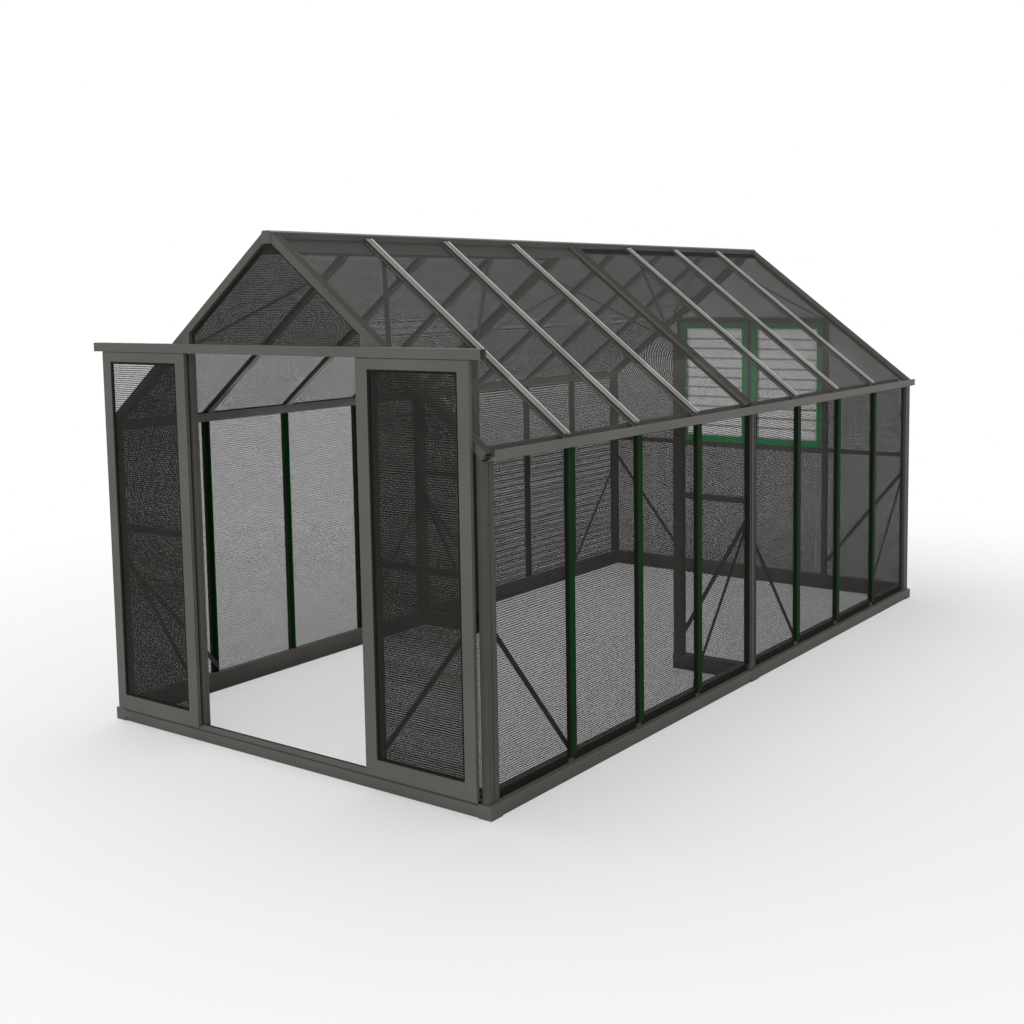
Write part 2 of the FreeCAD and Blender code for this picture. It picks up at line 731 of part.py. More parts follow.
def make_cloth():
    half = CLOTH / 2
    edges = bay_edges(POST_Y)
    wall = [block(CLOTH_X - half, CLOTH_X + half, y0, y1, CLOTH_FOOT, WALL_HEAD) for y0, y1 in edges]
    wall = rear_front(wall)
    save("right_wall_cloth", wall)
    save("left_wall_cloth", [panel.mirror(ORIGIN, X) for panel in wall])

    edges = bay_edges(RAFTER_Y)
    front = [roof_panel(y0, y1, RIDGE_FLANGE_FRONT + FIT) for y0, y1 in edges]
    rear = [roof_panel(y0, y1, RIDGE_FLANGE_REAR + FIT) for y0, y1 in edges]
    roof = to_front(front) + rear
    save("right_roof_cloth", roof)
    save("left_roof_cloth", [panel.mirror(ORIGIN, X) for panel in roof])

    front = end_cloth(DOOR_POST_OUT, DOOR_POST_IN, TRACK_TOP)
    save("front_wall_cloth", to_front(front))
    rear = end_cloth(WINDOW_OUT, WINDOW_IN, WINDOW_TOP + FIT + HEADER_H)
    low = rectangle(
        CENTRE_POST_W / 2 - SLOT_GRIP,
        WINDOW_IN + SLOT_GRIP,
        CLOTH_FOOT,
        WAIST_TOP - HEADER_H + SLOT_GRIP,
    )
    rear += left_right([along_y(low, CLOTH_Y - half, CLOTH_Y + half)])
    save("rear_wall_cloth", rear)


def roof_panel(y0, y1, top):
    """Cloth of one roof bay, with a few wide rows of openings in place of its fine mesh."""
    row = (ROOF_LENGTH - top - 2 * MESH_EDGE - MESH_GAP) / (MESH_ROWS - 1)
    starts = [top + MESH_EDGE + k * row for k in range(MESH_ROWS)]
    gaps = [rectangle(y0 + MESH_EDGE, y1 - MESH_EDGE, down, down + MESH_GAP) for down in starts]
    origin = FreeCAD.Vector(RIDGE_BAR_X, 0, RIDGE_BAR_Z) - OFF_SLOPE * (SEAT + CLOTH / 2)
    sheet = rectangle(y0, y1, top, ROOF_LENGTH)
    return section(sheet, gaps, origin, Y, DOWN_SLOPE, OFF_SLOPE * CLOTH)


def end_cloth(post_out, post_in, rail_top):
    """Cloth of an end wall beside its posts and in its gable."""
    tuck = POST_D - SLOT_GRIP
    inner = post_out - SLOT_GRIP
    outer = INNER_X + SLOT_GRIP
    bay = [
        (inner, CLOTH_FOOT),
        (outer, CLOTH_FOOT),
        (outer, roof_z(outer, tuck)),
        (inner, roof_z(inner, tuck)),
    ]
    side = post_in + SLOT_GRIP
    right = [
        (side, rail_top - SLOT_GRIP),
        (side, roof_z(side, tuck)),
        (APEX_HALF, roof_z(APEX_HALF, tuck)),
    ]
    gable = right + [(-x, z) for x, z in right[::-1]]
    low = CLOTH_Y - CLOTH / 2
    high = CLOTH_Y + CLOTH / 2
    return left_right([along_y(bay, low, high)]) + [along_y(gable, low, high)]


def make_track():
    slot = TRACK_SLOT / 2
    wall = TRACK_WALL
    outline = [
        (TRACK_MID + slot, TRACK_FOOT),
        (TRACK_FRONT, TRACK_FOOT),
        (TRACK_FRONT, TRACK_TOP),
        (TRACK_BACK, TRACK_TOP),
        (TRACK_BACK, TRACK_FOOT),
        (TRACK_MID - slot, TRACK_FOOT),
        (TRACK_MID - slot, TRACK_FOOT + wall),
        (TRACK_BACK + wall, TRACK_FOOT + wall),
        (TRACK_BACK + wall, TRACK_TOP - wall),
        (TRACK_FRONT - wall, TRACK_TOP - wall),
        (TRACK_FRONT - wall, TRACK_FOOT + wall),
        (TRACK_MID + slot, TRACK_FOOT + wall),
    ]
    save("door_track", to_front([along_x(outline, -TRACK_HALF, TRACK_HALF)]))


def leaf_frame():
    """Stiles and rails of the right leaf, facing the rear as all walls are drawn."""
    low, high = STILE_LINES
    seat = LEAF_SEAT
    stiles = [
        upright(INNER_STILE_W, LEAF_X, LEAF_T, seat, ("far",), LEAF_FRONT, LEAF_FOOT, LEAF_TOP),
        upright(OUTER_STILE_W, high, LEAF_T, seat, ("near",), LEAF_FRONT, LEAF_FOOT, LEAF_TOP),
    ]
    start = low + SEAM
    end = high - SEAM
    head = LEAF_TOP - TOP_RAIL_H
    top = crossbar(TOP_RAIL_H, head, LEAF_T, seat, ("near",), LEAF_FRONT, start, end)
    bottom = crossbar(BOTTOM_RAIL_H, LEAF_FOOT, BOTTOM_RAIL_D, seat, ("far",), LEAF_FRONT, start, end)
    guide = block(
        low,
        high,
        BASE_Y - GUIDE_T - GUIDE_FIT,
        BASE_Y + GUIDE_FIT,
        0,
        LEDGE + GUIDE_H + GUIDE_HEADROOM,
    )
    return stiles + [bottom.cut(guide), top]


def leaf_cloth():
    low, high = STILE_LINES
    middle = LEAF_FRONT - LEAF_SEAT
    return block(
        low - SLOT_GRIP,
        high + SLOT_GRIP,
        middle - CLOTH / 2,
        middle + CLOTH / 2,
        LEAF_FOOT + BOTTOM_RAIL_H - SLOT_GRIP,
        LEAF_TOP - TOP_RAIL_H + SLOT_GRIP,
    )


def across_track(x, start):
    """Point on a roller's axis, at a distance from the middle of the track."""
    return FreeCAD.Vector(x, TRACK_MID + start, ROLLER_Z)


def hanger(x):
    plate = block(
        x - HANGER_W / 2,
        x + HANGER_W / 2,
        TRACK_MID - HANGER_D / 2,
        TRACK_MID + HANGER_D / 2,
        LEAF_TOP,
        LEAF_TOP + HANGER_T,
    )
    half = STEM_T / 2
    stem = block(
        x - STEM_W / 2, x + STEM_W / 2, TRACK_MID - half, TRACK_MID + half, LEAF_TOP, ROLLER_Z + STEM_TOP
    )
    hole = bore(AXLE_R + RUN_FIT, 2 * STEM_T, across_track(x, -STEM_T), Y)
    return plate.fuse(stem).removeSplitter().cut(hole)


def roller(x):
    """Two wheels on one axle, either side of a hanger's stem."""
    inner = STEM_T / 2 + ROLLER_GAP
    outer = inner + ROLLER_W
    axle = rod(AXLE_R, 2 * outer, across_track(x, -outer), Y, PIN_SIDES)
    starts = (across_track(x, -outer), across_track(x, inner))
    wheels = [rod(ROLLER_R, ROLLER_W, start, Y, ROLLER_SIDES) for start in starts]
    return axle.fuse(wheels).removeSplitter()


def make_doors():
    places = (LEAF_X + HANGER_IN, LEAF_X + LEAF_W - HANGER_IN)
    for side, turn in (("right", 1), ("left", -1)):
        parts = {
            "frame": leaf_frame(),
            "cloth": [leaf_cloth()],
            "hangers": [hanger(x) for x in places],
            "inner_roller": [roller(places[0])],
            "outer_roller": [roller(places[1])],
        }
        for name, solids in parts.items():
            solids = to_front(solids)
            if turn < 0:
                solids = [solid.mirror(ORIGIN, X) for solid in solids]
            save(side + "_leaf_" + name, solids)


TILT = math.radians(BLADE_TILT)
LOUVRE_X0 = CENTRE_POST_W / 2 + WINDOW_FIT
LOUVRE_X1 = WINDOW_IN - WINDOW_FIT
LOUVRE_Y0 = CLOTH_Y - LOUVRE_D / 2
LOUVRE_Y1 = CLOTH_Y + LOUVRE_D / 2
CLEAR_H = WINDOW_H - 2 * LOUVRE_FACE - 2 * BLADE_EDGE_GAP
BLADE_PITCH = (CLEAR_H - BLADE_LAP * math.cos(TILT)) / (BLADES - 1 + math.cos(TILT))
CHORD = BLADE_PITCH + BLADE_LAP
FIRST_PIVOT = WINDOW_FOOT + LOUVRE_FACE + BLADE_EDGE_GAP + CHORD / 2 * math.cos(TILT)
PIVOTS = [FIRST_PIVOT + k * BLADE_PITCH for k in range(BLADES)]
CRANK_Y = CRANK_REACH * math.cos(math.radians(CRANK_REST))
CRANK_Z = CRANK_REACH * math.sin(math.radians(CRANK_REST))
LINK_END = LOUVRE_X1 - LOUVRE_FACE - LINK_GAP
PLAIN_END = LOUVRE_X0 + LOUVRE_FACE + PLAIN_GAP


def louvre_frame():
    """Two side channels with pivot holes, and a head and a sill channel between them."""
    wall = LOUVRE_WALL
    right = [
        (LOUVRE_X1, LOUVRE_Y0),
        (LOUVRE_X1, LOUVRE_Y0 + wall),
        (LOUVRE_X1 - LOUVRE_FACE + wall, LOUVRE_Y0 + wall),
        (LOUVRE_X1 - LOUVRE_FACE + wall, LOUVRE_Y1 - wall),
        (LOUVRE_X1, LOUVRE_Y1 - wall),
        (LOUVRE_X1, LOUVRE_Y1),
        (LOUVRE_X1 - LOUVRE_FACE, LOUVRE_Y1),
        (LOUVRE_X1 - LOUVRE_FACE, LOUVRE_Y0),
    ]
    left = [(LOUVRE_X0 + LOUVRE_X1 - x, y) for x, y in right]
    sides = [along_z(outline, WINDOW_FOOT, WINDOW_TOP) for outline in (left, right)]
    for z in PIVOTS:
        start = FreeCAD.Vector(LOUVRE_X0, CLOTH_Y, z)
        hole = bore(PIN_R + RUN_FIT, LOUVRE_X1 - LOUVRE_X0, start, X)
        sides = [channel.cut(hole) for channel in sides]
    head = [(y, WINDOW_TOP - LOUVRE_X1 + x) for x, y in right]
    sill = [(y, WINDOW_FOOT + LOUVRE_X1 - x) for x, y in right]
    start = LOUVRE_X0 + LOUVRE_FACE + SEAM
    end = LOUVRE_X1 - LOUVRE_FACE - SEAM
    return sides + [along_x(outline, start, end) for outline in (head, sill)]


def clip(inner, outer, pin):
    """End clip that grips a blade, from its open end to its closed end, with its pivot pin."""
    way = math.copysign(1, outer - inner)
    half = CHORD / 2 - CLIP_SHORT
    low, high = sorted((inner, outer))
    body = block(low, high, -CLIP_T / 2, CLIP_T / 2, -half, half)
    grip = BLADE_T / 2 + SEAM
    low, high = sorted((inner, outer - way * CLIP_END))
    body = body.cut(block(low, high, -grip, grip, -CHORD, CHORD))
    return body.fuse(rod(PIN_R, pin, X * (outer - way * CLIP_END / 2), X * way, PIN_SIDES))


def crank():
    """Arm on the link end of a blade, with the pin that the link bar drives."""
    half = CRANK_W / 2
    outline = [
        (0, -half),
        (CRANK_REACH, -half),
        (CRANK_REACH + half, -half / 2),
        (CRANK_REACH + half, half / 2),
        (CRANK_REACH, half),
        (0, half),
    ]
    arm = along_x(outline, LINK_END - CLIP_END, LINK_END)
    reach = CLIP_END / 2 + LINK_STANDOFF + LINK_T + SEAM
    start = FreeCAD.Vector(LINK_END - CLIP_END / 2, CRANK_REACH, 0)
    arm = arm.fuse(rod(CRANK_PIN_R, reach, start, X, PIN_SIDES))
    arm.rotate(ORIGIN, X, CRANK_REST)
    return arm


def blade_set():
    """One blade in its two clips, turned about its pivot line on the X axis."""
    slab = rectangle(-BLADE_T / 2, BLADE_T / 2, -CHORD / 2, CHORD / 2)
    slab = along_x(slab, PLAIN_END + CLIP_END + FIT, LINK_END - CLIP_END - FIT)
    reach = LOUVRE_WALL + PIN_BEYOND + CLIP_END / 2
    plain = clip(PLAIN_END + CLIP_W, PLAIN_END, PLAIN_GAP + reach)
    driven = clip(LINK_END - CLIP_W, LINK_END, LINK_GAP + reach)
    pieces = [slab, plain, driven]
    for piece in pieces:
        piece.rotate(ORIGIN, X, BLADE_TILT)
    pieces[2] = driven.fuse(crank()).removeSplitter()
    pieces[1] = plain.removeSplitter()
    return pieces


def link_bar():
    """Bar with an open notch for each crank pin, and a pull tab reaching inside."""
    middle = CLOTH_Y + CRANK_Y
    inner = middle - LINK_W / 2
    outer = middle + LINK_W / 2
    notch = CRANK_PIN_R + CRANK_PIN_FIT
    pins = [z + CRANK_Z for z in PIVOTS]
    tab = (pins[BLADES // 2] + pins[BLADES // 2 - 1]) / 2
    outline = [
        (inner, pins[-1] + LINK_TAIL),
        (inner, tab + TAB_H / 2),
        (inner - TAB_REACH, tab + TAB_H / 2),
        (inner - TAB_REACH, tab - TAB_H / 2),
        (inner, tab - TAB_H / 2),
        (inner, pins[0] - LINK_TAIL),
        (outer, pins[0] - LINK_TAIL),
    ]
    for z in pins:
        outline += [
            (outer, z - notch),
            (middle - notch, z - notch),
            (middle - notch, z + notch),
            (outer, z + notch),
        ]
    outline.append((outer, pins[-1] + LINK_TAIL))
    start = LINK_END + LINK_STANDOFF
    return along_x(outline, start, start + LINK_T)


def make_louvres():
    """Both windows. The left one is the mirror image of the right one."""
    groups = {"frame": louvre_frame(), "link_bar": [link_bar()]}
    pieces = blade_set()
    for number, z in enumerate(PIVOTS, 1):
        place = FreeCAD.Vector(0, CLOTH_Y, z)
        groups["blade_%02d" % number] = [piece.translated(place) for piece in pieces]
    for name, solids in groups.items():
        save("right_louvre_" + name, solids)
        save("left_louvre_" + name, [solid.mirror(ORIGIN, X) for solid in solids])


os.makedirs("parts", exist_ok=True)
make_base()
make_posts()
make_wall_bars()
make_roof_frame()
make_ridge()
make_gutters()
make_end_wall_rails()
make_braces()
make_cloth()
make_track()
make_doors()
make_louvres()
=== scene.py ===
"""Dresses the shade house: mesh cloth in every bay, painted metal, louvre blades and fixings.

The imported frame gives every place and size. Lengths are in metres. +Z is up, the doors are at -Y.
"""
import json
import math

import bmesh
import bpy
from mathutils import Matrix, Vector
from mathutils.geometry import convex_hull_2d


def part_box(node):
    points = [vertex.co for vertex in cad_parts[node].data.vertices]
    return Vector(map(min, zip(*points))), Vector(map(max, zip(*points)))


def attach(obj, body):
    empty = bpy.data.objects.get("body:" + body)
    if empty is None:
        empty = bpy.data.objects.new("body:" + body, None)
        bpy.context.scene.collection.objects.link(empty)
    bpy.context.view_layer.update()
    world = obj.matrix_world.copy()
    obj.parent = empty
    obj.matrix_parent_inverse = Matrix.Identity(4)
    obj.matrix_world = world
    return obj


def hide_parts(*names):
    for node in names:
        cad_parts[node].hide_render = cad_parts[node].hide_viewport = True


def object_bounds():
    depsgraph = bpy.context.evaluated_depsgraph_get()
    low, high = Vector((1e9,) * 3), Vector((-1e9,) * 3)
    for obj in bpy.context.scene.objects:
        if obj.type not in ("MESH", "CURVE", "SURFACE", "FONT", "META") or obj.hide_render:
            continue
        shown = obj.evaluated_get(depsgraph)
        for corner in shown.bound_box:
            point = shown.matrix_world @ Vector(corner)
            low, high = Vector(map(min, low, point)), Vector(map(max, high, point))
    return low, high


bl_info = {
    "name": "Shade house",
    "version": (1, 0, 0),
    "blender": (4, 5, 0),
    "location": "3D View > Sidebar > Shade house",
    "description": "Cloth, paint and fixings for a gabled shade house",
    "category": "Object",
}

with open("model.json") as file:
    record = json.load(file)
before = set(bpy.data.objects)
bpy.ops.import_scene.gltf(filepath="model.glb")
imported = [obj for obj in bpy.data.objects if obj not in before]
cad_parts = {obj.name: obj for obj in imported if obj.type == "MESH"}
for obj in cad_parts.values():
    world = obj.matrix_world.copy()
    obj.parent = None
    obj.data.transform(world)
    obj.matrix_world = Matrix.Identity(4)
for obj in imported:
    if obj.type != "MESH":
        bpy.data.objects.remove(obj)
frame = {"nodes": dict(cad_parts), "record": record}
NODES = frame["nodes"]
CAD_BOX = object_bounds()
HOUSE = "house"
SIDES = {"left": -1, "right": 1}
UP = Vector((0, 0, 1))
ALONG = Vector((0, 1, 0))

# How close points, faces and edges lie when they count as one
SAME_LEVEL = 1e-9
SAME_POINT = 1e-5
SAME_FACE = 1e-4
SAME_EDGE = 1e-3
FLAT_ANGLE = math.radians(1)

# How strips sit on their seats, in metres
END_CLEAR = 0.001
EDGE_CLEAR = 0.002
GASKET_INSET = 0.0022
CAP_DEEPEST = 0.01
CHANNEL_SUNK = 0.0015
GABLE_CLEAR = 0.03
FLANGE_EDGE = 0.003
HALF_CLOTH = 0.001
BRUSH_IN = 0.0025
BRUSH_HALF = 0.0015
CLOTH_CLEAR = 0.0006

# A strip's broken edges, as shares of its height and half width
EDGE_FOOT = 0.6
EDGE_TOP = 0.75

# Distance from the middle of a painted shade line to its full shade and to its soft edge
GROOVE_LINE = (0.003, 0.005)
LAP_LINE = (0.0055, 0.0085)

# Powder coat: swing of its shade, extra light of its specks, painted shade of its groove
COAT_SPREAD = 0.12
COAT_SPECKS = 0.25
GROOVE_SHADE = 0.35

# Height of a face's normal where a finish starts and ends its change
# Painted light and shade on tops: FACES_UP, and ROOF_SLOPE for a ridge. Painted highlight: CHAMFER
FACES_UP = (0.5, 0.95)
CHAMFER = (0.5, 0.65)
ROOF_SLOPE = (0.74, 0.785)
# Dusty cloth with a painted sheen
CLOTH_DUST_AND_SHEEN = (0.35, 0.75)

# The stage, in metres
FLOOR_SIDES = 96
FLOOR_RADIUS = 40.0
FLOOR_FADE = (2.7, 6.4)
LAMP_TARGET = Vector((0, 0, 1.2))
LEVEL_SPREAD = math.radians(6)
LEVEL_FALL = 0.02
LEVEL_HEIGHT = 1.5
LEVEL_AWAY = 12
INSIDE_SHARE = (0.85, 0.9)
FLOOR_LIGHT_HEIGHT = 0.03
EAVES_LIGHT_HEIGHT = 1.9
VIEW_END = 200

# Nodes by finish
GREY_NODES = (
    "base_rails",
    "base_joiners",
    "door_posts",
    "window_posts",
    "end_wall_rails",
    "door_track",
    "left_leaf_frame",
    "right_leaf_frame",
)
POST_NODES = ("corner_posts", "mid_frame_posts")

# Cloth of the house, and the nodes that hold it
WALL_HOLDERS = ("corner_posts", "mid_frame_posts", "wall_bars", "base_rails")
ROOF_HOLDERS = ("gable_rafters", "mid_rafters", "roof_bars")
HOUSE_CLOTH = {
    "left_wall": WALL_HOLDERS,
    "right_wall": WALL_HOLDERS,
    "left_roof": ROOF_HOLDERS,
    "right_roof": ROOF_HOLDERS,
    "front_wall": ("corner_posts", "door_posts", "gable_rafters", "base_front_sill"),
    "rear_wall": ("corner_posts", "window_posts", "gable_rafters", "base_rails"),
}

# Cloth that hangs close to another, and wall cloth whose rows show less
CLOSE_CLOTH = ("left_leaf_cloth", "right_leaf_cloth", "left_roof_cloth")
PLAIN_CLOTH = ("left_wall_cloth", "rear_wall_cloth")


def number(title, text, default, **kind):
    """Setting that is one number."""
    return bpy.props.FloatProperty(name=title, description=text, default=default, **kind)


def metres(title, text, default):
    return number(title, text, default, unit="LENGTH")


def portion(title, text, default):
    return number(title, text, default, subtype="FACTOR")


def degrees(title, text, default):
    return number(title, text, math.radians(default), subtype="ANGLE")


def watts(title, text, default):
    return number(title, text, default, unit="POWER")


def whole(title, text, default):
    return bpy.props.IntProperty(name=title, description=text, default=default, min=1)


def tint(title, text, default):
    return bpy.props.FloatVectorProperty(
        name=title, description=text, default=default, subtype="COLOR", size=3, min=0, max=1
    )


class ShadeHouseCloth(bpy.types.PropertyGroup):
    """Sizes of the mesh cloth."""

    row_pitch: metres("Row pitch", "Distance from one open row to the next", 0.01105)
    row_tapes: whole("Tapes in a row", "Level tapes from one open row to the next", 5)
    close_tapes: whole(
        "Tapes in a closer row",
        "Level tapes in a row of cloth that hangs close to another, so that they make no bands",
        7,
    )
    wall_open: portion("Wall openness", "Share of the wall cloth's height that is open", 0.33)
    wall_swing: portion("Wall swing", "How far rows go above and below the wall's openness", 0.31)
    front_open: portion("Front openness", "Share of the front cloth's height that is open", 0.24)
    plain_open: portion("Plain openness", "Share of the plainer cloth's height that is open", 0.3)
    plain_swing: portion("Plain swing", "How far rows go above and below the plain openness", 0.13)
    roof_open: portion("Roof openness", "Share of the roof cloth's slope that is open", 0.35)
    left_roof_open: portion("Left roof openness", "Share of the left roof cloth that is open", 0.22)
    roof_swing: portion("Roof swing", "How far rows go above and below the roof's openness", 0.03)
    tape_thickness: metres("Tape thickness", "Thickness of each level tape at its middle", 0.0004)
    chain_pitch: metres("Chain pitch", "Distance from one upright chain to the next", 0.008)
    chain_width: metres("Chain width", "Width of each upright chain of stitches", 0.0012)
    chain_thickness: metres("Chain thickness", "Thickness of each upright chain", 0.0009)


class ShadeHouseTrim(bpy.types.PropertyGroup):
    """Sizes of the seals and strips."""

    lip_out: metres(
        "Lip offset", "Distance from the wall cloth's middle to the base lip's outer face", 0.0033
    )
    ledge: metres("Ledge", "Height of the foot seals' lower edge on the base", 0.0655)
    lip_head: metres("Lip head", "Height of the top of the base lip", 0.1068)
    seal_thickness: metres("Seal thickness", "Thickness of the flat rubber seals", 0.0014)
    cap_clear: metres(
        "Cap clearance", "How far a seal stops short of its bay's edges, to clear the bars", 0.0195
    )
    cap_height: metres("Cap height", "Height of the side of a bar's cap", 0.0207)
    # Width of the painted highlight bead on a roof bar; also the depth of a gable bead
    bead_width: metres("Bead width", "Width of the bright bead on a roof bar", 0.005)
    post_bead: metres("Post bead", "Width of the black bead beside a mid post", 0.018)
    channel_middle: metres(
        "Channel middle", "Distance from the mid frame's joint to a channel's middle", 0.0201
    )
    channel_half: metres("Channel half width", "Half the width of a channel strip", 0.0077)
    channel_depth: metres("Channel depth", "Depth of a rafter's channel", 0.01)
    leaf_bead: metres("Leaf bead", "Width of the black bead round a leaf's cloth", 0.011)
    gable_bead: metres("Gable bead", "Width of the black bead under a gable rafter", 0.016)
    # Width of the painted shade strip under the rear ridge's cap
    ridge_shade_width: metres("Ridge seal", "Width of the black seal on the rear ridge's flange", 0.048)
    slot_grip: metres("Slot grip", "How far a leaf's cloth reaches into its frame", 0.01)
    # Height of the painted shade line along the sill
    groove_height: metres("Sill groove", "Height of the dark groove along the sill", 0.062)
    running_gap: metres("Running gap", "Gap between a leaf's top strip and the track", 0.0004)


class ShadeHouseColours(bpy.types.PropertyGroup):
    """Colours of the finishes, as linear light."""

    frame_paint: tint("Frame paint", "Warm dark grey of the frame", (0.066, 0.063, 0.056))
    # Painted shade: a darker copy of the frame paint for the posts
    post_paint_shaded: tint("Post paint", "Darker grey of the posts", (0.044, 0.042, 0.0365))
    # Painted light: a lighter copy of the frame paint for the gutters
    gutter_paint_lit: tint("Gutter paint", "Lighter grey of the gutters", (0.09, 0.087, 0.08))
    ridge_paint: tint("Ridge paint", "Grey of the ridge's upright sides", (0.07, 0.0685, 0.063))
    rafter_paint: tint("Mid rafter paint", "Grey of the mid rafters", (0.085, 0.082, 0.074))
    bar_paint: tint("Wall bar paint", "Dark green of the wall bars", (0.0015, 0.022, 0.003))
    roof_bar_paint: tint("Roof bar paint", "Light grey of the roof bars", (0.25, 0.2445, 0.2335))
    window_paint: tint("Window paint", "Green of the louvre frames", (0.002, 0.29, 0.076))
    blade: tint("Blades", "Frosted white of the louvre blades", (0.95, 0.95, 0.94))
    # Painted shade where the blades lap
    lap: tint("Blade edges", "Grey of the blades' edges", (0.55, 0.55, 0.54))
    brace: tint("Wall braces", "Dark coated steel of the wall braces", (0.028, 0.027, 0.024))
    roof_brace: tint("Roof braces", "Grey coated steel of the roof braces", (0.1, 0.097, 0.09))
    cloth: tint("Cloth", "Near-black yarn of the cloth", (0.012, 0.0108, 0.009))
    # Partly dust, partly a painted sheen on cloth that faces up
    dust_and_sheen: tint("Dust", "Pale dust on cloth that faces up", (0.0405, 0.0387, 0.035))
    # Painted highlight: bright metal of the roof bars' beads
    bead: tint("Beads", "Bright metal of the roof bars' beads", (0.7, 0.7, 0.69))
    # Also the black of strips that paint shade: base recesses, ridge gap, rafter channels, wall
    # bars' sides
    seal_and_shade: tint("Seals", "Black rubber of the seals and strips", (0.009, 0.0085, 0.0078))
    # Partly gasket, partly painted shade on the roof bars' sides
    gasket_and_shade: tint("Gaskets", "Dark grey rubber beside the roof bars", (0.04, 0.039, 0.036))
    roller: tint("Rollers", "Black plastic of the rollers", (0.02, 0.02, 0.02))
    bright: tint("Bright metal", "Bare metal of hangers and links", (0.55, 0.55, 0.55))
    floor: tint("Floor", "Pale floor", (0.7, 0.7, 0.7))


class ShadeHouseStage(bpy.types.PropertyGroup):
    """Where the picture is taken from, and the light."""

    place: bpy.props.FloatVectorProperty(
        name="Camera place",
        description="Where the camera stands",
        default=(4.783, -6.952, 2.304),
        subtype="TRANSLATION",
    )
    azimuth: degrees("Azimuth", "Turn of the camera round the house from straight in front", 35.72)
    elevation: degrees("Elevation", "Angle of the camera above the horizon", 5.91)
    roll: degrees("Roll", "Turn of the camera about its own axis", -0.81)
    lens: portion("Lens", "Focal length as a share of the picture's width", 1.298)
    shift: bpy.props.FloatVectorProperty(
        name="Shift",
        description="Sideways and upward shift of the picture, as shares of its width",
        default=(-0.0291, -0.0799),
        size=2,
    )
    sky: number("Sky light", "Strength of the even light from all round", 0.8)
    lamp_place: bpy.props.FloatVectorProperty(
        name="Lamp place",
        description="Middle of the large soft lamp above the doors",
        default=(-2.5, -0.6, 9.0),
        subtype="TRANSLATION",
    )
    lamp_size: metres("Lamp size", "Width of the soft lamp", 7.0)
    lamp_power: watts("Lamp power", "Power of the soft lamp", 430.0)
    front_light: number("Front light", "Strength of the level light from the front", 1.1)
    side_light: number("Side light", "Strength of the level light from beside the camera", 1.1)
    floor_light: watts(
        "Floor light", "Power of the soft light that comes up off the floor inside", 16.0
    )
    eaves_light: watts(
        "Eaves light", "Power of the soft light that comes down from the eaves inside", 26.0
    )
    floor_glow: portion("Floor white", "Share of plain white in the floor as it is seen", 0.42)


SETTINGS = {
    "cloth": ShadeHouseCloth,
    "trim": ShadeHouseTrim,
    "colours": ShadeHouseColours,
    "stage": ShadeHouseStage,
}


def settings(name):
    return getattr(bpy.context.scene, "shade_house_" + name)


def new_material(name):
    """Empty material with its shader, ready for nodes."""
    material = bpy.data.materials.new(name)
    material.use_nodes = True
    return material, material.node_tree.nodes["Principled BSDF"]


def add_node(material, kind, **values):
    node = material.node_tree.nodes.new(kind)
    for socket, value in values.items():
        node.inputs[socket].default_value = value
    return node


def link(material, source, output, target, socket):
    material.node_tree.links.new(source.outputs[output], target.inputs[socket])


def noise(material, scale, detail, stretch=(1, 1, 1)):
    """Noise in the house's own metres, stretched along its axes."""
    places = add_node(material, "ShaderNodeTexCoord")
    mapping = add_node(material, "ShaderNodeMapping", Scale=stretch)
    pattern = add_node(material, "ShaderNodeTexNoise", Scale=scale, Detail=detail)
    link(material, places, "Object", mapping, "Vector")
    link(material, mapping, "Vector", pattern, "Vector")
    return pattern


def ramp(material, pattern, stops):
    """Colours picked by a pattern, as (place, colour) stops."""
    node = add_node(material, "ShaderNodeValToRGB")
    elements = node.color_ramp.elements
    while len(elements) < len(stops):
        elements.new(0.5)
    for element, (place, colour) in zip(elements, stops):
        element.position = place
        element.color = (*colour, 1)
    link(material, pattern, "Fac", node, "Fac")
    return node


def shaded(colour, factor):
    """Lighter or darker shade of a colour."""
    return tuple(min(1.0, channel * factor) for channel in colour)


def bump(material, shader, pattern, strength, distance):
    """Fine relief that follows a pattern."""
    node = add_node(material, "ShaderNodeBump", Strength=strength, Distance=distance)
    link(material, pattern, "Fac", node, "Height")
    link(material, node, "Normal", shader, "Normal")


def blended(material, amount, first, second):
    """Mix of a colour socket and a plain colour, by an amount socket."""
    mix = add_node(material, "ShaderNodeMix")
    mix.data_type = "RGBA"
    links = material.node_tree.links
    links.new(amount, mix.inputs["Factor"])
    links.new(first, mix.inputs[6])
    mix.inputs[7].default_value = (*second, 1)
    return mix.outputs[2]


def between(material, value, low=0.0, high=1.0, bottom=0.0, top=1.0):
    """Bottom where a socket is below low, rising to top at high."""
    ends = {"From Min": low, "From Max": high, "To Min": bottom, "To Max": top}
    node = add_node(material, "ShaderNodeMapRange", **ends)
    material.node_tree.links.new(value, node.inputs["Value"])
    return node.outputs["Result"]


def roughness(material, shader, pattern, low, high):
    """Roughness that follows a pattern, from low to high."""
    rough = between(material, pattern.outputs["Fac"], bottom=low, top=high)
    material.node_tree.links.new(rough, shader.inputs["Roughness"])


def object_axis(material, output, axis):
    """One axis of the object's own places or normals."""
    places = add_node(material, "ShaderNodeTexCoord")
    parts = add_node(material, "ShaderNodeSeparateXYZ")
    link(material, places, output, parts, "Vector")
    return parts.outputs[axis]


def maths(material, operation, value, other=None):
    """Result of one operation on a socket, and on a plain number where it takes one."""
    node = add_node(material, "ShaderNodeMath")
    node.operation = operation
    material.node_tree.links.new(value, node.inputs[0])
    if other is not None:
        node.inputs[1].default_value = other
    return node.outputs["Value"]


def near_line(material, distance, line):
    """One on a line, falling to nought at its soft edge."""
    dark, clear = line
    return between(material, distance, low=clear, high=dark)


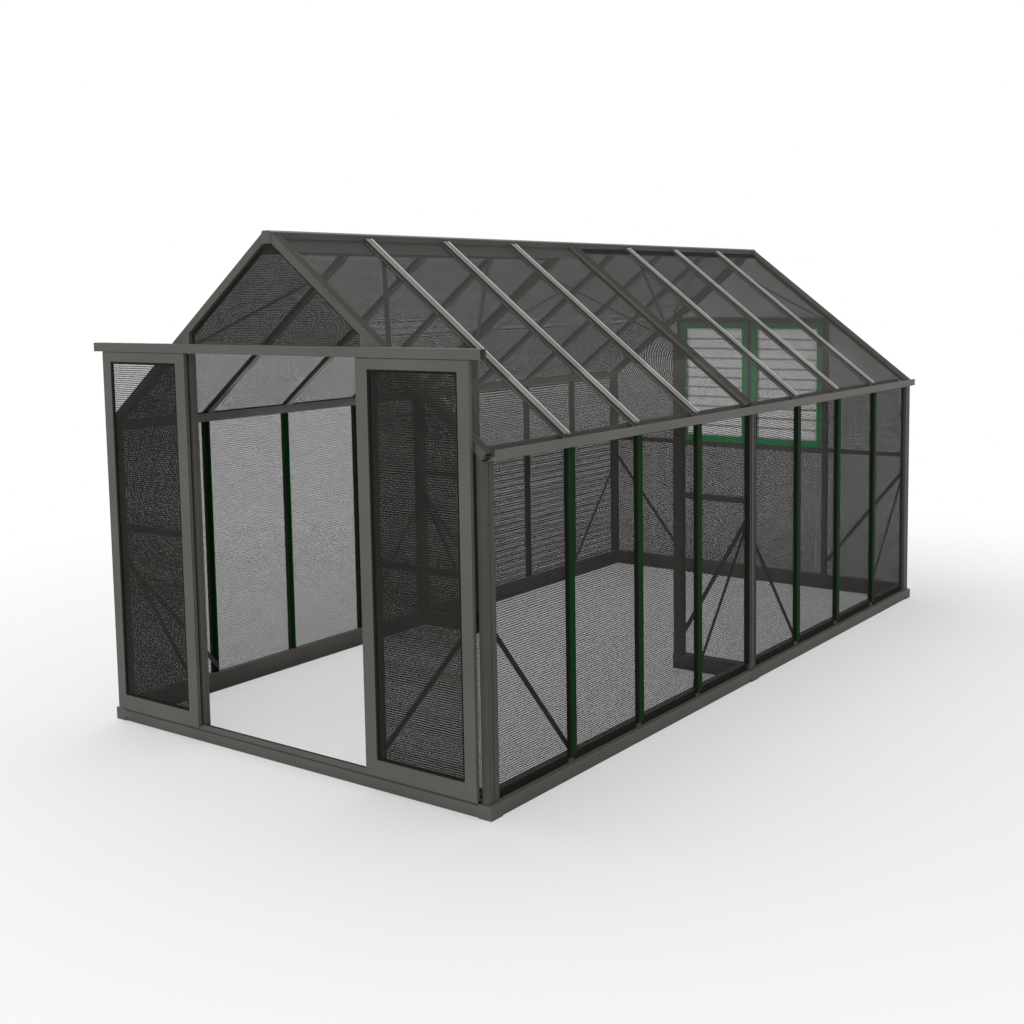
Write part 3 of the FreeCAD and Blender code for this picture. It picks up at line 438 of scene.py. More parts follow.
def painted_groove_shade(material, shade, height, dark):
    """Painted shade of a groove: a dark level line at one height."""
    level = object_axis(material, "Object", "Z")
    distance = maths(material, "ABSOLUTE", maths(material, "SUBTRACT", level, height))
    return blended(material, near_line(material, distance, GROOVE_LINE), shade, dark)


def powder_coat(name, colour, settled=1.9, gloss=0.18, groove=None, edge=None):
    """Satin powder coat: orange peel, slow changes of shade, specks, and a dusty tone with painted
    light and shade where it faces up.

    A groove is the height of a painted shade line. An edge is the painted highlight of chamfers,
    beside a roof's slope.
    """
    material, shader = new_material(name)
    clouds = noise(material, scale=2.5, detail=4)
    low = shaded(colour, 1 - COAT_SPREAD)
    high = shaded(colour, 1 + COAT_SPREAD)
    tone = ramp(material, clouds, [(0.3, low), (0.55, colour), (0.75, high)])
    specks = noise(material, scale=60, detail=6)
    amount = between(material, specks.outputs["Fac"], low=0.52, high=0.8, top=0.55)
    shade = blended(material, amount, tone.outputs["Color"], shaded(colour, 1 + COAT_SPECKS))
    tilt = object_axis(material, "Normal", "Z")
    # Painted highlight: chamfers get a lighter copy of the paint, by the edge factor
    if edge:
        shade = blended(material, between(material, tilt, *CHAMFER), shade, shaded(colour, edge))
    # Painted light and shade: faces that face up get a copy of the paint, lighter or darker by the
    # given factor
    upward = between(material, tilt, *(ROOF_SLOPE if edge else FACES_UP))
    shade = blended(material, upward, shade, shaded(colour, settled))
    # Painted shade: a dark level line stands in for the shade in a groove
    if groove:
        shade = painted_groove_shade(material, shade, groove, shaded(colour, GROOVE_SHADE))
    material.node_tree.links.new(shade, shader.inputs["Base Color"])
    peel = noise(material, scale=900, detail=2)
    roughness(material, shader, specks, low=0.38, high=0.6)
    bump(material, shader, peel, strength=0.12, distance=0.0004)
    shader.inputs["Specular IOR Level"].default_value = gloss
    return material


def bare_metal(name, colour, rough):
    """Brushed or rolled metal with fine streaks."""
    material, shader = new_material(name)
    streaks = noise(material, scale=40, detail=5, stretch=(1, 1, 14))
    stops = [(0.3, shaded(colour, 0.75)), (0.7, shaded(colour, 1.15))]
    link(material, ramp(material, streaks, stops), "Color", shader, "Base Color")
    shader.inputs["Metallic"].default_value = 1.0
    roughness(material, shader, streaks, low=rough - 0.1, high=rough + 0.12)
    bump(material, shader, streaks, strength=0.1, distance=0.0003)
    return material


def moulded(name, colour, rough, gloss):
    """Moulded plastic or rubber with a faint grain."""
    material, shader = new_material(name)
    grain = noise(material, scale=700, detail=3)
    clouds = noise(material, scale=6, detail=3)
    stops = [(0.3, shaded(colour, 0.9)), (0.7, shaded(colour, 1.06))]
    link(material, ramp(material, clouds, stops), "Color", shader, "Base Color")
    roughness(material, shader, clouds, low=rough - 0.06, high=rough + 0.08)
    bump(material, shader, grain, strength=0.1, distance=0.0003)
    shader.inputs["Specular IOR Level"].default_value = gloss
    return material


def rubber(name, colour):
    """Dull rubber of seals, gaskets and beads."""
    return moulded(name, colour, rough=0.7, gloss=0.06)


def yarn(name, colour, dust_and_sheen):
    """Flat polymer yarn: dark, with a soft sheen, fine threads, and a dusty tone with painted sheen
    where it faces up.
    """
    material, shader = new_material(name)
    threads = noise(material, scale=1500, detail=2)
    clouds = noise(material, scale=3, detail=3)
    tone = ramp(material, clouds, [(0.3, shaded(colour, 0.8)), (0.7, shaded(colour, 1.25))])
    # Dust and painted sheen: cloth that faces up gets a paler colour
    settled = between(material, object_axis(material, "Normal", "Z"), *CLOTH_DUST_AND_SHEEN)
    shade = blended(material, settled, tone.outputs["Color"], dust_and_sheen)
    material.node_tree.links.new(shade, shader.inputs["Base Color"])
    roughness(material, shader, threads, low=0.5, high=0.75)
    bump(material, shader, threads, strength=0.25, distance=0.0003)
    shader.inputs["Specular IOR Level"].default_value = 0.12
    return material


def frosted(name, colour, edge, lap, pitch):
    """Frosted blade: milky white that lets daylight through, with painted shade in grey bands where
    blades lap.
    """
    material, shader = new_material(name)
    clouds = noise(material, scale=9, detail=3)
    tone = ramp(material, clouds, [(0.3, shaded(colour, 0.97)), (0.7, shaded(colour, 1.03))])
    # Painted shade: grey bands where the blades lap, for the light that the doubled blades hold
    # back
    level = maths(material, "SUBTRACT", object_axis(material, "Object", "Z"), lap)
    distance = maths(material, "PINGPONG", level, pitch / 2)
    shade = blended(material, near_line(material, distance, LAP_LINE), tone.outputs["Color"], edge)
    material.node_tree.links.new(shade, shader.inputs["Base Color"])
    grain = noise(material, scale=800, detail=3)
    roughness(material, shader, clouds, low=0.32, high=0.4)
    bump(material, shader, grain, strength=0.08, distance=0.0003)
    shader.inputs["Transmission Weight"].default_value = 0.92
    shader.inputs["IOR"].default_value = 1.1
    return material


def finish_node(node, material):
    """Gives one CAD node its finish."""
    mesh = NODES[node].data
    mesh.materials.clear()
    mesh.materials.append(material)


def coat_nodes(nodes, name, paint, **finish):
    """Gives several CAD nodes the same powder coat."""
    material = powder_coat(name + "_coat", paint, **finish)
    for node in nodes:
        finish_node(node, material)


def place_of(corners):
    """Middle of a solid's box, from front to rear first, to the nearest centimetre."""
    spots = [[corner[axis] for corner in corners] for axis in (1, 0, 2)]
    return [round((min(row) + max(row)) / 2, 2) for row in spots]


def mean(values):
    values = list(values)
    return sum(values) / len(values)


def solids_of(node):
    """Corner points of each solid in a CAD node and its largest face's normal, front to rear."""
    work = bmesh.new()
    work.from_mesh(NODES[node].data)
    bmesh.ops.remove_doubles(work, verts=work.verts, dist=SAME_POINT)
    bmesh.ops.dissolve_limit(
        work,
        angle_limit=FLAT_ANGLE,
        use_dissolve_boundaries=False,
        verts=work.verts,
        edges=work.edges,
    )
    left = dict.fromkeys(work.verts)
    found = []
    while left:
        todo = [left.popitem()[0]]
        corners = []
        faces = {}
        while todo:
            vert = todo.pop()
            corners.append(vert.co.copy())
            faces.update(dict.fromkeys(vert.link_faces))
            for edge in vert.link_edges:
                other = edge.other_vert(vert)
                if other in left:
                    del left[other]
                    todo.append(other)
        widest = max(faces, key=lambda face: face.calc_area())
        found.append((corners, widest.normal.copy()))
    work.free()
    return sorted(found, key=lambda solid: place_of(solid[0]))


def corners_of(node):
    """Corner points of each solid in a CAD node, front to rear."""
    return [corners for corners, _ in solids_of(node)]


def add_length(points, faces, start, end, ring):
    """Adds a closed length from start to end, whose section is a ring of offsets."""
    first = len(points)
    count = len(ring)
    for middle in (start, end):
        points += [middle + offset for offset in ring]
    for k in range(count):
        after = (k + 1) % count
        faces.append((first + k, first + after, first + count + after, first + count + k))
    faces.append(tuple(range(first + count - 1, first - 1, -1)))
    faces.append(tuple(range(first + count, first + 2 * count)))


def oval_ring(across, out):
    """Pointed oval section of a tape or a thread."""
    return [across, out, -across, -out]


def strip_ring(across, out):
    """Section of a flat strip that sits on a face, with its outer edges broken."""
    return [
        -across,
        across,
        across + EDGE_FOOT * out,
        EDGE_TOP * across + out,
        -EDGE_TOP * across + out,
        -across + EDGE_FOOT * out,
    ]


def new_piece(name, points, faces, material):
    """Mesh object from points and faces, with its faces turned outwards."""
    mesh = bpy.data.meshes.new(name)
    mesh.from_pydata(points, [], faces)
    work = bmesh.new()
    work.from_mesh(mesh)
    bmesh.ops.recalc_face_normals(work, faces=work.faces)
    work.to_mesh(mesh)
    work.free()
    mesh.materials.append(material)
    piece = bpy.data.objects.new(name, mesh)
    bpy.context.scene.collection.objects.link(piece)
    return piece


def strips(name, body, material, lengths):
    """One piece of several like strips, each a start, an end and a ring."""
    points = []
    faces = []
    for start, end, ring in lengths:
        add_length(points, faces, start, end, ring)
    piece = new_piece(name, points, faces, material)
    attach(piece, body)


def edges_of(outline):
    """Each point of an outline with the next one."""
    return zip(outline, outline[1:] + outline[:1])


def crossing(outline, level, axis):
    """Lowest and highest place where a level line crosses a convex outline, or None."""
    other = 1 - axis
    hits = []
    for p, q in edges_of(outline):
        low, high = sorted((p[axis], q[axis]))
        if low <= level <= high and high - low > SAME_LEVEL:
            share = (level - p[axis]) / (q[axis] - p[axis])
            hits.append(p[other] + share * (q[other] - p[other]))
    if len(hits) < 2:
        return None
    return min(hits), max(hits)


def inside_range(outline, level, half, axis):
    """Range along a strip of the given half width that stays inside a convex outline."""
    ranges = [crossing(outline, level + step, axis) for step in (-half, half)]
    if None in ranges:
        return None
    low = max(pair[0] for pair in ranges)
    high = min(pair[1] for pair in ranges)
    return (low, high) if high - low > 2 * half else None


def steps(low, high, pitch):
    """Numbers of the whole pitches between low and high."""
    return range(math.ceil(low / pitch), math.floor(high / pitch) + 1)


def tape_rows(node, low, high):
    """Level and width of each tape between two heights, narrower where a row is more open."""
    sizes = settings("cloth")
    count = sizes.close_tapes if node in CLOSE_CLOTH else sizes.row_tapes
    pitch = sizes.row_pitch / count
    share, swing = sizes.wall_open, sizes.wall_swing
    if node in PLAIN_CLOTH:
        share, swing = sizes.plain_open, sizes.plain_swing
    if node == "front_wall_cloth":
        share, swing = sizes.front_open, sizes.plain_swing
    if "_roof_" in node:
        share, swing = sizes.roof_open, sizes.roof_swing
    if node == "left_roof_cloth":
        share = sizes.left_roof_open
    rows = []
    for step in steps(low, high, pitch):
        gap = share + swing * math.cos(2 * math.pi * step / count)
        rows.append((step * pitch, pitch * (1 - gap)))
    return rows


def cloth_panel(node, name, corners, normal, material):
    """One bay's cloth: level tapes knitted together by upright chains, in its solid's place."""
    sizes = settings("cloth")
    rise = (UP - normal * normal.dot(UP)).normalized()
    run = rise.cross(normal)
    depth = mean(corner.dot(normal) for corner in corners)
    flat = [Vector((corner.dot(run), corner.dot(rise))) for corner in corners]
    outline = [tuple(flat[k]) for k in convex_hull_2d(flat)]
    points = []
    faces = []

    def place(along, level):
        return run * along + rise * level + normal * depth

    heights = [point[1] for point in outline]
    out = normal * (sizes.tape_thickness / 2)
    for level, width in tape_rows(node, min(heights), max(heights)):
        half = width / 2
        span = inside_range(outline, level, half, 1)
        if span:
            ring = oval_ring(rise * half, out)
            add_length(points, faces, place(span[0], level), place(span[1], level), ring)
    half = sizes.chain_width / 2
    ring = oval_ring(run * half, normal * (sizes.chain_thickness / 2))
    widths = [point[0] for point in outline]
    for step in steps(min(widths) + half, max(widths) - half, sizes.chain_pitch):
        along = step * sizes.chain_pitch
        span = inside_range(outline, along, half, 0)
        if span:
            add_length(points, faces, place(along, span[0]), place(along, span[1]), ring)
    panel = new_piece(name, points, faces, material)
    area = 0.5 * abs(sum(p[0] * q[1] - q[0] * p[1] for p, q in edges_of(outline)))
    return panel, (max(widths) - min(widths), max(heights) - min(heights)), area


def hang_cloth(prefix, body):
    """Puts a cloth panel in the place of each solid of a cloth node."""
    node = prefix + "_cloth"
    colours = settings("colours")
    name = "shade_cloth_yarn"
    material = bpy.data.materials.get(name) or yarn(name, colours.cloth, colours.dust_and_sheen)
    for count, (corners, normal) in enumerate(solids_of(node), 1):
        title = f"{prefix}_panel_{count}"
        panel, flat, area = cloth_panel(node, title, corners, normal, material)
        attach(panel, body)
        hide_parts(node)


class SHADEHOUSE_OT_paint(bpy.types.Operator):
    """Paint the frame, the bars and the braces"""

    bl_idname = "shade_house.paint"
    bl_label = "Paint frame"

    def execute(self, context):
        colours = settings("colours")
        groove = settings("trim").groove_height
        # On each coat, the factor for faces that face up paints light above one and shade below one
        coat_nodes(GREY_NODES, "frame_grey", colours.frame_paint)
        # Sill: painted shade line where a groove would hold shade
        coat_nodes(["base_front_sill"], "sill_grey", colours.frame_paint, groove=groove)
        # Gutters: a lighter copy of the frame paint, painted light
        coat_nodes(["gutters"], "gutter_lit_grey", colours.gutter_paint_lit, settled=1.4)
        # Ridge: painted highlight on its chamfers, painted shade on faces along the roof's slope
        coat_nodes(
            ["ridge_beams"], "ridge_grey", colours.ridge_paint, settled=0.53, gloss=0.05, edge=2.4
        )
        coat_nodes(["gable_rafters"], "gable_rafter", colours.frame_paint, settled=0.3, gloss=0.06)
        coat_nodes(["mid_rafters"], "mid_rafter", colours.rafter_paint, settled=0.1, gloss=0.05)
        # Posts: a darker copy of the frame paint, painted shade
        coat_nodes(POST_NODES, "post_shaded_grey", colours.post_paint_shaded)
        coat_nodes(["wall_bars"], "wall_bar_green", colours.bar_paint, settled=1.2, gloss=0.03)
        coat_nodes(["roof_bars"], "roof_bar_grey", colours.roof_bar_paint, settled=0.2)
        coat_nodes(["wall_braces"], "wall_brace", colours.brace)
        coat_nodes(["roof_braces"], "roof_brace", colours.roof_brace, settled=1.0)
        return {"FINISHED"}


class SHADEHOUSE_OT_cloth(bpy.types.Operator):
    """Hang the cloth of the walls, roof and gables"""

    bl_idname = "shade_house.cloth"
    bl_label = "Hang wall and roof cloth"

    def execute(self, context):
        for prefix, holders in HOUSE_CLOTH.items():
            hang_cloth(prefix, HOUSE)
        return {"FINISHED"}


def side_of(corners):
    """One for a solid on the right of the house, minus one on the left."""
    return 1 if sum(corner.x for corner in corners) > 0 else -1


def end_of(corners, middle):
    """One for a solid behind the mid frame's joint, minus one in front of it."""
    return 1 if mean(corner.y for corner in corners) > middle else -1


def outward(corners):
    """Level way out of the house on a solid's own side."""
    return Vector((side_of(corners), 0, 0))


def roof_ways(side):
    """Upward normal of the roof on one side of the house, and the way along its slope."""
    normal = solids_of(side + "_roof_cloth")[0][1]
    out = normal if normal.z > 0 else -normal
    return out, out.cross(ALONG)


def face_frame(corners, out, way):
    """Level of a bar's outer face, and its range along a way."""
    top = max(corner.dot(out) for corner in corners)
    spots = [corner.dot(way) for corner in corners if corner.dot(out) > top - SAME_FACE]
    return top, min(spots), max(spots)


def cap_edges(corners, out):
    """Lowest and highest y of the outer part of a bar."""
    top = max(corner.dot(out) for corner in corners)
    spots = [corner.y for corner in corners if corner.dot(out) > top - CAP_DEEPEST]
    return min(spots), max(spots)


def laid(seat, way, start, end, ring):
    """One length of a strip on its seat, from start to end along a way."""
    return seat + way * start, seat + way * end, ring


def cap_gaskets_and_shade(corners, out, way):
    """Rubber on both sides of a bar's cap, dark as painted shade on its sides."""
    sizes = settings("trim")
    top, start, end = face_frame(corners, out, way)
    low, high = cap_edges(corners, out)
    middle = out * (top - sizes.cap_height / 2)
    across = out * (sizes.cap_height / 2 - GASKET_INSET)
    lengths = []
    for edge, face in ((low, -ALONG), (high, ALONG)):
        ring = strip_ring(across, face * sizes.seal_thickness)
        seat = middle + ALONG * edge
        lengths.append(laid(seat, way, start + END_CLEAR, end - END_CLEAR, ring))
    return lengths


def roof_highlight_bead(corners, out, way):
    """Bright strip along the rear edge of a roof bar's top, a painted highlight."""
    sizes = settings("trim")
    top, start, end = face_frame(corners, out, way)
    edge = cap_edges(corners, out)[1] - EDGE_CLEAR - sizes.bead_width / 2
    ring = strip_ring(ALONG * (sizes.bead_width / 2), out * sizes.seal_thickness)
    return laid(out * top + ALONG * edge, way, start, end, ring)


def channel_shade_strip(corners, out, way, middle):
    """Black strip on the floor of one mid rafter's channel, painted shade in the channel."""
    sizes = settings("trim")
    top, start, end = face_frame(corners, out, way)
    line = middle + sizes.channel_middle * end_of(corners, middle)
    seat = out * (top - sizes.channel_depth) + ALONG * line
    ring = strip_ring(ALONG * sizes.channel_half, out * (sizes.channel_depth - CHANNEL_SUNK))
    return laid(seat, way, start + END_CLEAR, end - END_CLEAR, ring)


def bay_strip(corners, seat, ring):
    """Strip along one bay of cloth, clear of the bars at its ends."""
    clear = settings("trim").cap_clear
    spots = [corner.y for corner in corners]
    return laid(seat, ALONG, min(spots) + clear, max(spots) - clear, ring)


def ridge_shade_strips(ways, middle):
    """Black strips on the flanges of the rear ridge, one over each bay of roof cloth: painted shade
    of the gap under the ridge's cap.
    """
    sizes = settings("trim")
    half = sizes.ridge_shade_width / 2
    rear = [corners for corners in corners_of("ridge_beams") if end_of(corners, middle) > 0]
    ridge = max(rear, key=len)
    lengths = []
    for side, sign in SIDES.items():
        out, way = ways[sign]
        fall = way * -sign
        reach = max(corner.x * sign for corner in ridge) - FLANGE_EDGE
        rim = [corner for corner in ridge if corner.x * sign > reach]
        flange = max(rim, key=lambda corner: corner.dot(out))
        seat = out * flange.dot(out) + fall * (flange.dot(fall) - half)
        ring = strip_ring(fall * half, out * sizes.seal_thickness)
        for corners in corners_of(side + "_roof_cloth"):
            if end_of(corners, middle) > 0:
                lengths.append(bay_strip(corners, seat, ring))
    return lengths


def foot_shade_strip(corners):
    """Black strip from the base lip down to the ledge, at the foot of one bay of wall cloth:
    painted shade of the base's recess.
    """
    sizes = settings("trim")
    out = outward(corners)
    plane = mean(corner.dot(out) for corner in corners)
    seat = out * (plane + sizes.lip_out) + UP * ((sizes.ledge + sizes.lip_head) / 2)
    ring = strip_ring(UP * ((sizes.lip_head - sizes.ledge) / 2), out * sizes.seal_thickness)
    return bay_strip(corners, seat, ring)


def post_length(seat, head, ring):
    """Strip up a mid post, from the base lip to the post's head."""
    foot = settings("trim").lip_head
    return laid(seat, UP, foot + END_CLEAR, head - END_CLEAR, ring)


def post_bead(corners, cloth_plane, middle):
    """Black bead beside one mid post, over the edge of the cloth."""
    sizes = settings("trim")
    out = outward(corners)
    top, _, head = face_frame(corners, out, UP)
    end = end_of(corners, middle)
    edge = max(corner.y * end for corner in corners) * end
    low = cloth_plane + sizes.lip_out
    high = top - EDGE_CLEAR
    ring = strip_ring(out * ((high - low) / 2), ALONG * (end * sizes.post_bead))
    return post_length(out * ((low + high) / 2) + ALONG * edge, head, ring)


def post_strip(corners, middle):
    """Black strip down the outer face of one mid post, in line with the rafter's channel."""
    sizes = settings("trim")
    out = outward(corners)
    top, _, head = face_frame(corners, out, UP)
    line = middle + sizes.channel_middle * end_of(corners, middle)
    ring = strip_ring(ALONG * (sizes.channel_half / 2), out * (sizes.seal_thickness / 2))
    return post_length(out * top + ALONG * line, head, ring)


def gable_beads(corners):
    """Black beads along the sloping edges of one gable's cloth, on its outer face."""
    sizes = settings("trim")
    out = ALONG * (1 if corners[0].y > 0 else -1)
    plane = max(corner.dot(out) for corner in corners)
    eave = max(abs(corner.x) for corner in corners)
    high = max(corner.z for corner in corners)
    apex = max(abs(corner.x) for corner in corners if corner.z > high - SAME_EDGE)
    foot = max(corner.z for corner in corners if abs(corner.x) > eave - SAME_EDGE)
    lengths = []
    for side in (-1, 1):
        way = Vector((side * (apex - eave), 0, high - foot)).normalized()
        inward = Vector((-side * way.z, 0, side * way.x))
        seat = out * plane + inward * (sizes.slot_grip + sizes.gable_bead / 2)
        start = Vector((side * eave, 0, foot)) + way * GABLE_CLEAR
        end = Vector((side * apex, 0, high)) - way * GABLE_CLEAR
        ring = strip_ring(inward * (sizes.gable_bead / 2), out * sizes.bead_width)
        lengths.append((start + seat, end + seat, ring))
    return lengths


def gable_panel(node):
    """Corners of the panel that reaches highest in an end wall's cloth."""
    return max(corners_of(node), key=lambda corners: max(corner.z for corner in corners))


def outer_mid_posts():
    """Corners of each mid post that stands in a side wall."""
    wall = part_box("mid_frame_posts")[1][0] - SAME_EDGE
    posts = corners_of("mid_frame_posts")
    return [corners for corners in posts if max(abs(corner.x) for corner in corners) > wall]


class SHADEHOUSE_OT_trim(bpy.types.Operator):
    """Fit the seals, gaskets and beads, with black strips of painted shade and a bright strip of
    painted highlight
    """

    bl_idname = "shade_house.trim"
    bl_label = "Fit seals and beads"

    def execute(self, context):
        colours = settings("colours")
        # Black rubber, also used for strips of painted shade
        black = rubber("seal_and_shade_rubber", colours.seal_and_shade)
        grey = rubber("gasket_and_shade_rubber", colours.gasket_and_shade)
        # Bright metal of the roof bars' beads, a painted highlight
        metal = bare_metal("highlight_bead_metal", colours.bead, rough=0.4)
        low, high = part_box("mid_rafters")
        middle = (low[1] + high[1]) / 2
        ways = {sign: roof_ways(side) for side, sign in SIDES.items()}

        def fit(name, lengths, material=black):
            strips(name, HOUSE, material, lengths)

        gaskets = []
        beads = []
        # Roof bars: grey gaskets, partly painted shade on their sides, and a painted highlight bead
        for corners in corners_of("roof_bars"):
            out, way = ways[side_of(corners)]
            gaskets += cap_gaskets_and_shade(corners, out, way)
            beads.append(roof_highlight_bead(corners, out, way))
        fit("roof_bar_gaskets_and_shade", gaskets, grey)
        fit("roof_bar_highlight_beads", beads, metal)
        gaskets = []
        # Wall bars: black strips on both sides of the cap, painted shade on their sides
        for corners in corners_of("wall_bars"):
            gaskets += cap_gaskets_and_shade(corners, outward(corners), UP)
        fit("wall_bar_side_shade", gaskets)
        lengths = []
        # Painted shade in the mid rafters' channels
        for corners in corners_of("mid_rafters"):
            lengths.append(channel_shade_strip(corners, *ways[side_of(corners)], middle))
        fit("mid_rafter_shade_strips", lengths)
        # Painted shade of the gap under the rear ridge's cap
        fit("ridge_shade_strips", ridge_shade_strips(ways, middle))
        # Painted shade of the base's recess at the foot of each wall bay
        for side in SIDES:
            bays = corners_of(side + "_wall_cloth")
            fit(side + "_foot_shade_strips", [foot_shade_strip(corners) for corners in bays])
        plane = max(abs(corner.x) for corner in bays[0]) - HALF_CLOTH
        posts = outer_mid_posts()
        fit("mid_post_beads", [post_bead(corners, plane, middle) for corners in posts])
        front, rear = (gable_panel(end + "_wall_cloth") for end in ("front", "rear"))
        fit("gable_beads", gable_beads(front) + gable_beads(rear))
        fit("mid_post_strips", [post_strip(corners, middle) for corners in posts])
        return {"FINISHED"}


def leaf_strip(leaf):
    """Brush strip that closes the gap over one leaf."""
    sizes = settings("trim")
    low, high = (Vector(corner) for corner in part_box(leaf + "_frame"))
    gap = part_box("door_track")[0][2] - high.z - sizes.running_gap
    seat = Vector((0, low.y + BRUSH_IN, high.z))
    ring = strip_ring(ALONG * BRUSH_HALF, UP * gap)
    return laid(seat, Vector((1, 0, 0)), low.x + END_CLEAR, high.x - END_CLEAR, ring)


def leaf_beads(leaf):
    """Black beads round the cloth of one leaf, in front of it."""
    sizes = settings("trim")
    low, high = (Vector(corner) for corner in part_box(leaf + "_cloth"))
    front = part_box(leaf + "_frame")[0][1] + EDGE_CLEAR
    back = low.y - CLOTH_CLEAR
    middle = (front + back) / 2
    across = ALONG * ((back - front) / 2)
    sides = (low.x + sizes.slot_grip, high.x - sizes.slot_grip)
    ends = (low.z + sizes.slot_grip, high.z - sizes.slot_grip)
    lengths = []
    for x, way in zip(sides, (1, -1)):
        ring = strip_ring(across, Vector((way * sizes.leaf_bead, 0, 0)))
        lengths.append((Vector((x, middle, ends[0])), Vector((x, middle, ends[1])), ring))
    for z, way in zip(ends, (1, -1)):
        ring = strip_ring(across, UP * (way * sizes.leaf_bead))
        start, end = (x + step * sizes.leaf_bead for x, step in zip(sides, (1, -1)))
        lengths.append((Vector((start, middle, z)), Vector((end, middle, z)), ring))
    return lengths


class SHADEHOUSE_OT_doors(bpy.types.Operator):
    """Finish the sliding leaves, their hangers and rollers"""

    bl_idname = "shade_house.doors"
    bl_label = "Finish doors"

    def execute(self, context):
        colours = settings("colours")
        plate = bare_metal("hanger_metal", colours.bright, rough=0.35)
        nylon = moulded("roller_nylon", colours.roller, rough=0.45, gloss=0.3)
        black = rubber("bead_rubber", colours.seal_and_shade)
        for side in SIDES:
            leaf = side + "_leaf"
            hang_cloth(leaf, leaf)
            strips(leaf + "_top_strip", leaf, nylon, [leaf_strip(leaf)])
            strips(leaf + "_beads", leaf, black, leaf_beads(leaf))
            finish_node(leaf + "_hangers", plate)
            for place in ("inner", "outer"):
                finish_node(f"{leaf}_{place}_roller", nylon)
        return {"FINISHED"}


class SHADEHOUSE_OT_louvres(bpy.types.Operator):
    """Finish the louvre windows"""

    bl_idname = "shade_house.louvres"
    bl_label = "Finish louvres"

    def execute(self, context):
        colours = settings("colours")
        frames = [side + "_louvre_frame" for side in SIDES]
        coat_nodes(frames, "window_green", colours.window_paint, settled=1.2, gloss=0.06)
        joints = frame["record"]["behaviour"]["joints"]
        blades = [joint for joint in joints if "left_louvre_blade" in joint["child"]]
        pivots = sorted(joint["pos_m"][2] for joint in blades)
        pitch = pivots[1] - pivots[0]
        lap = pivots[0] + pitch / 2
        white = frosted("blade_frosted_white", colours.blade, colours.lap, lap, pitch)
        bar = bare_metal("link_metal", colours.bright, rough=0.4)
        for side in SIDES:
            finish_node(side + "_louvre_link_bar", bar)
        for node in NODES:
            if "_louvre_blade_" in node:
                finish_node(node, white)
        return {"FINISHED"}


def seen_rays(tree):
    """One for rays from the camera, off gloss and through the blades, else nought."""
    path = tree.nodes.new("ShaderNodeLightPath")
    seen = path.outputs["Is Camera Ray"]
    for ray in ("Is Glossy Ray", "Is Transmission Ray"):
        either = tree.nodes.new("ShaderNodeMath")
        either.operation = "MAXIMUM"
        tree.links.new(seen, either.inputs[0])
        tree.links.new(path.outputs[ray], either.inputs[1])
        seen = either.outputs["Value"]
    return seen


def stage_floor(colour, glow):
    """Pale round floor that fades into the white all round it."""
    bpy.ops.mesh.primitive_circle_add(vertices=FLOOR_SIDES, radius=FLOOR_RADIUS, fill_type="NGON")
    floor = bpy.context.object
    floor.name = "floor"
    material, shader = new_material("floor_pale")
    shader.inputs["Base Color"].default_value = (*colour, 1)
    shader.inputs["Roughness"].default_value = 0.9
    shader.inputs["Specular IOR Level"].default_value = 0.1
    places = add_node(material, "ShaderNodeTexCoord")
    distance = add_node(material, "ShaderNodeVectorMath")
    distance.operation = "LENGTH"
    link(material, places, "Object", distance, 0)
    fade = between(material, distance.outputs["Value"], *FLOOR_FADE)
    fade.node.interpolation_type = "SMOOTHSTEP"
    tree = material.node_tree
    share = maths(material, "MULTIPLY", seen_rays(tree), glow)
    white = add_node(material, "ShaderNodeEmission", Color=(1, 1, 1, 1), Strength=1.0)
    shown = add_node(material, "ShaderNodeMixShader")
    tree.links.new(share, shown.inputs[0])
    link(material, shader, "BSDF", shown, 1)
    link(material, white, "Emission", shown, 2)
    clear = add_node(material, "ShaderNodeBsdfTransparent")
    mix = add_node(material, "ShaderNodeMixShader")
    tree.links.new(fade, mix.inputs[0])
    link(material, shown, "Shader", mix, 1)
    link(material, clear, "BSDF", mix, 2)
    link(material, mix, "Shader", tree.nodes["Material Output"], "Surface")
    floor.data.materials.append(material)


def stage_sky(strength):
    """Even light from all round, on a background that shows plain white."""
    world = bpy.data.worlds.new("studio_white")
    world.use_nodes = True
    bpy.context.scene.world = world
    nodes = world.node_tree.nodes
    links = world.node_tree.links
    light = nodes["Background"]
    white = nodes.new("ShaderNodeBackground")
    for background, level in ((light, strength), (white, 1.0)):
        background.inputs["Color"].default_value = (1, 1, 1, 1)
        background.inputs["Strength"].default_value = level
    mix = nodes.new("ShaderNodeMixShader")
    links.new(seen_rays(world.node_tree), mix.inputs[0])
    links.new(light.outputs["Background"], mix.inputs[1])
    links.new(white.outputs["Background"], mix.inputs[2])
    links.new(mix.outputs["Shader"], nodes["World Output"].inputs["Surface"])


def add_light(name, kind, power, place, way):
    """New light at a place, that shines one way."""
    data = bpy.data.lights.new(name, kind)
    data.energy = power
    lamp = bpy.data.objects.new(name, data)
    lamp.location = place
    lamp.rotation_euler = way.to_track_quat("-Z", "Y").to_euler()
    bpy.context.scene.collection.objects.link(lamp)
    return lamp


def stage_lamp(name, place, size, power):
    """Large soft lamp that looks at the house."""
    lamp = add_light(name, "AREA", power, place, LAMP_TARGET - Vector(place))
    lamp.data.shape = "DISK"
    lamp.data.size = size


def stage_level_light(name, strength, azimuth):
    """Level light from one side, that reaches in through the doorway."""
    way = Vector((-math.sin(azimuth), math.cos(azimuth), -LEVEL_FALL))
    lamp = add_light(name, "SUN", strength, UP * LEVEL_HEIGHT - way * LEVEL_AWAY, way)
    lamp.data.angle = LEVEL_SPREAD


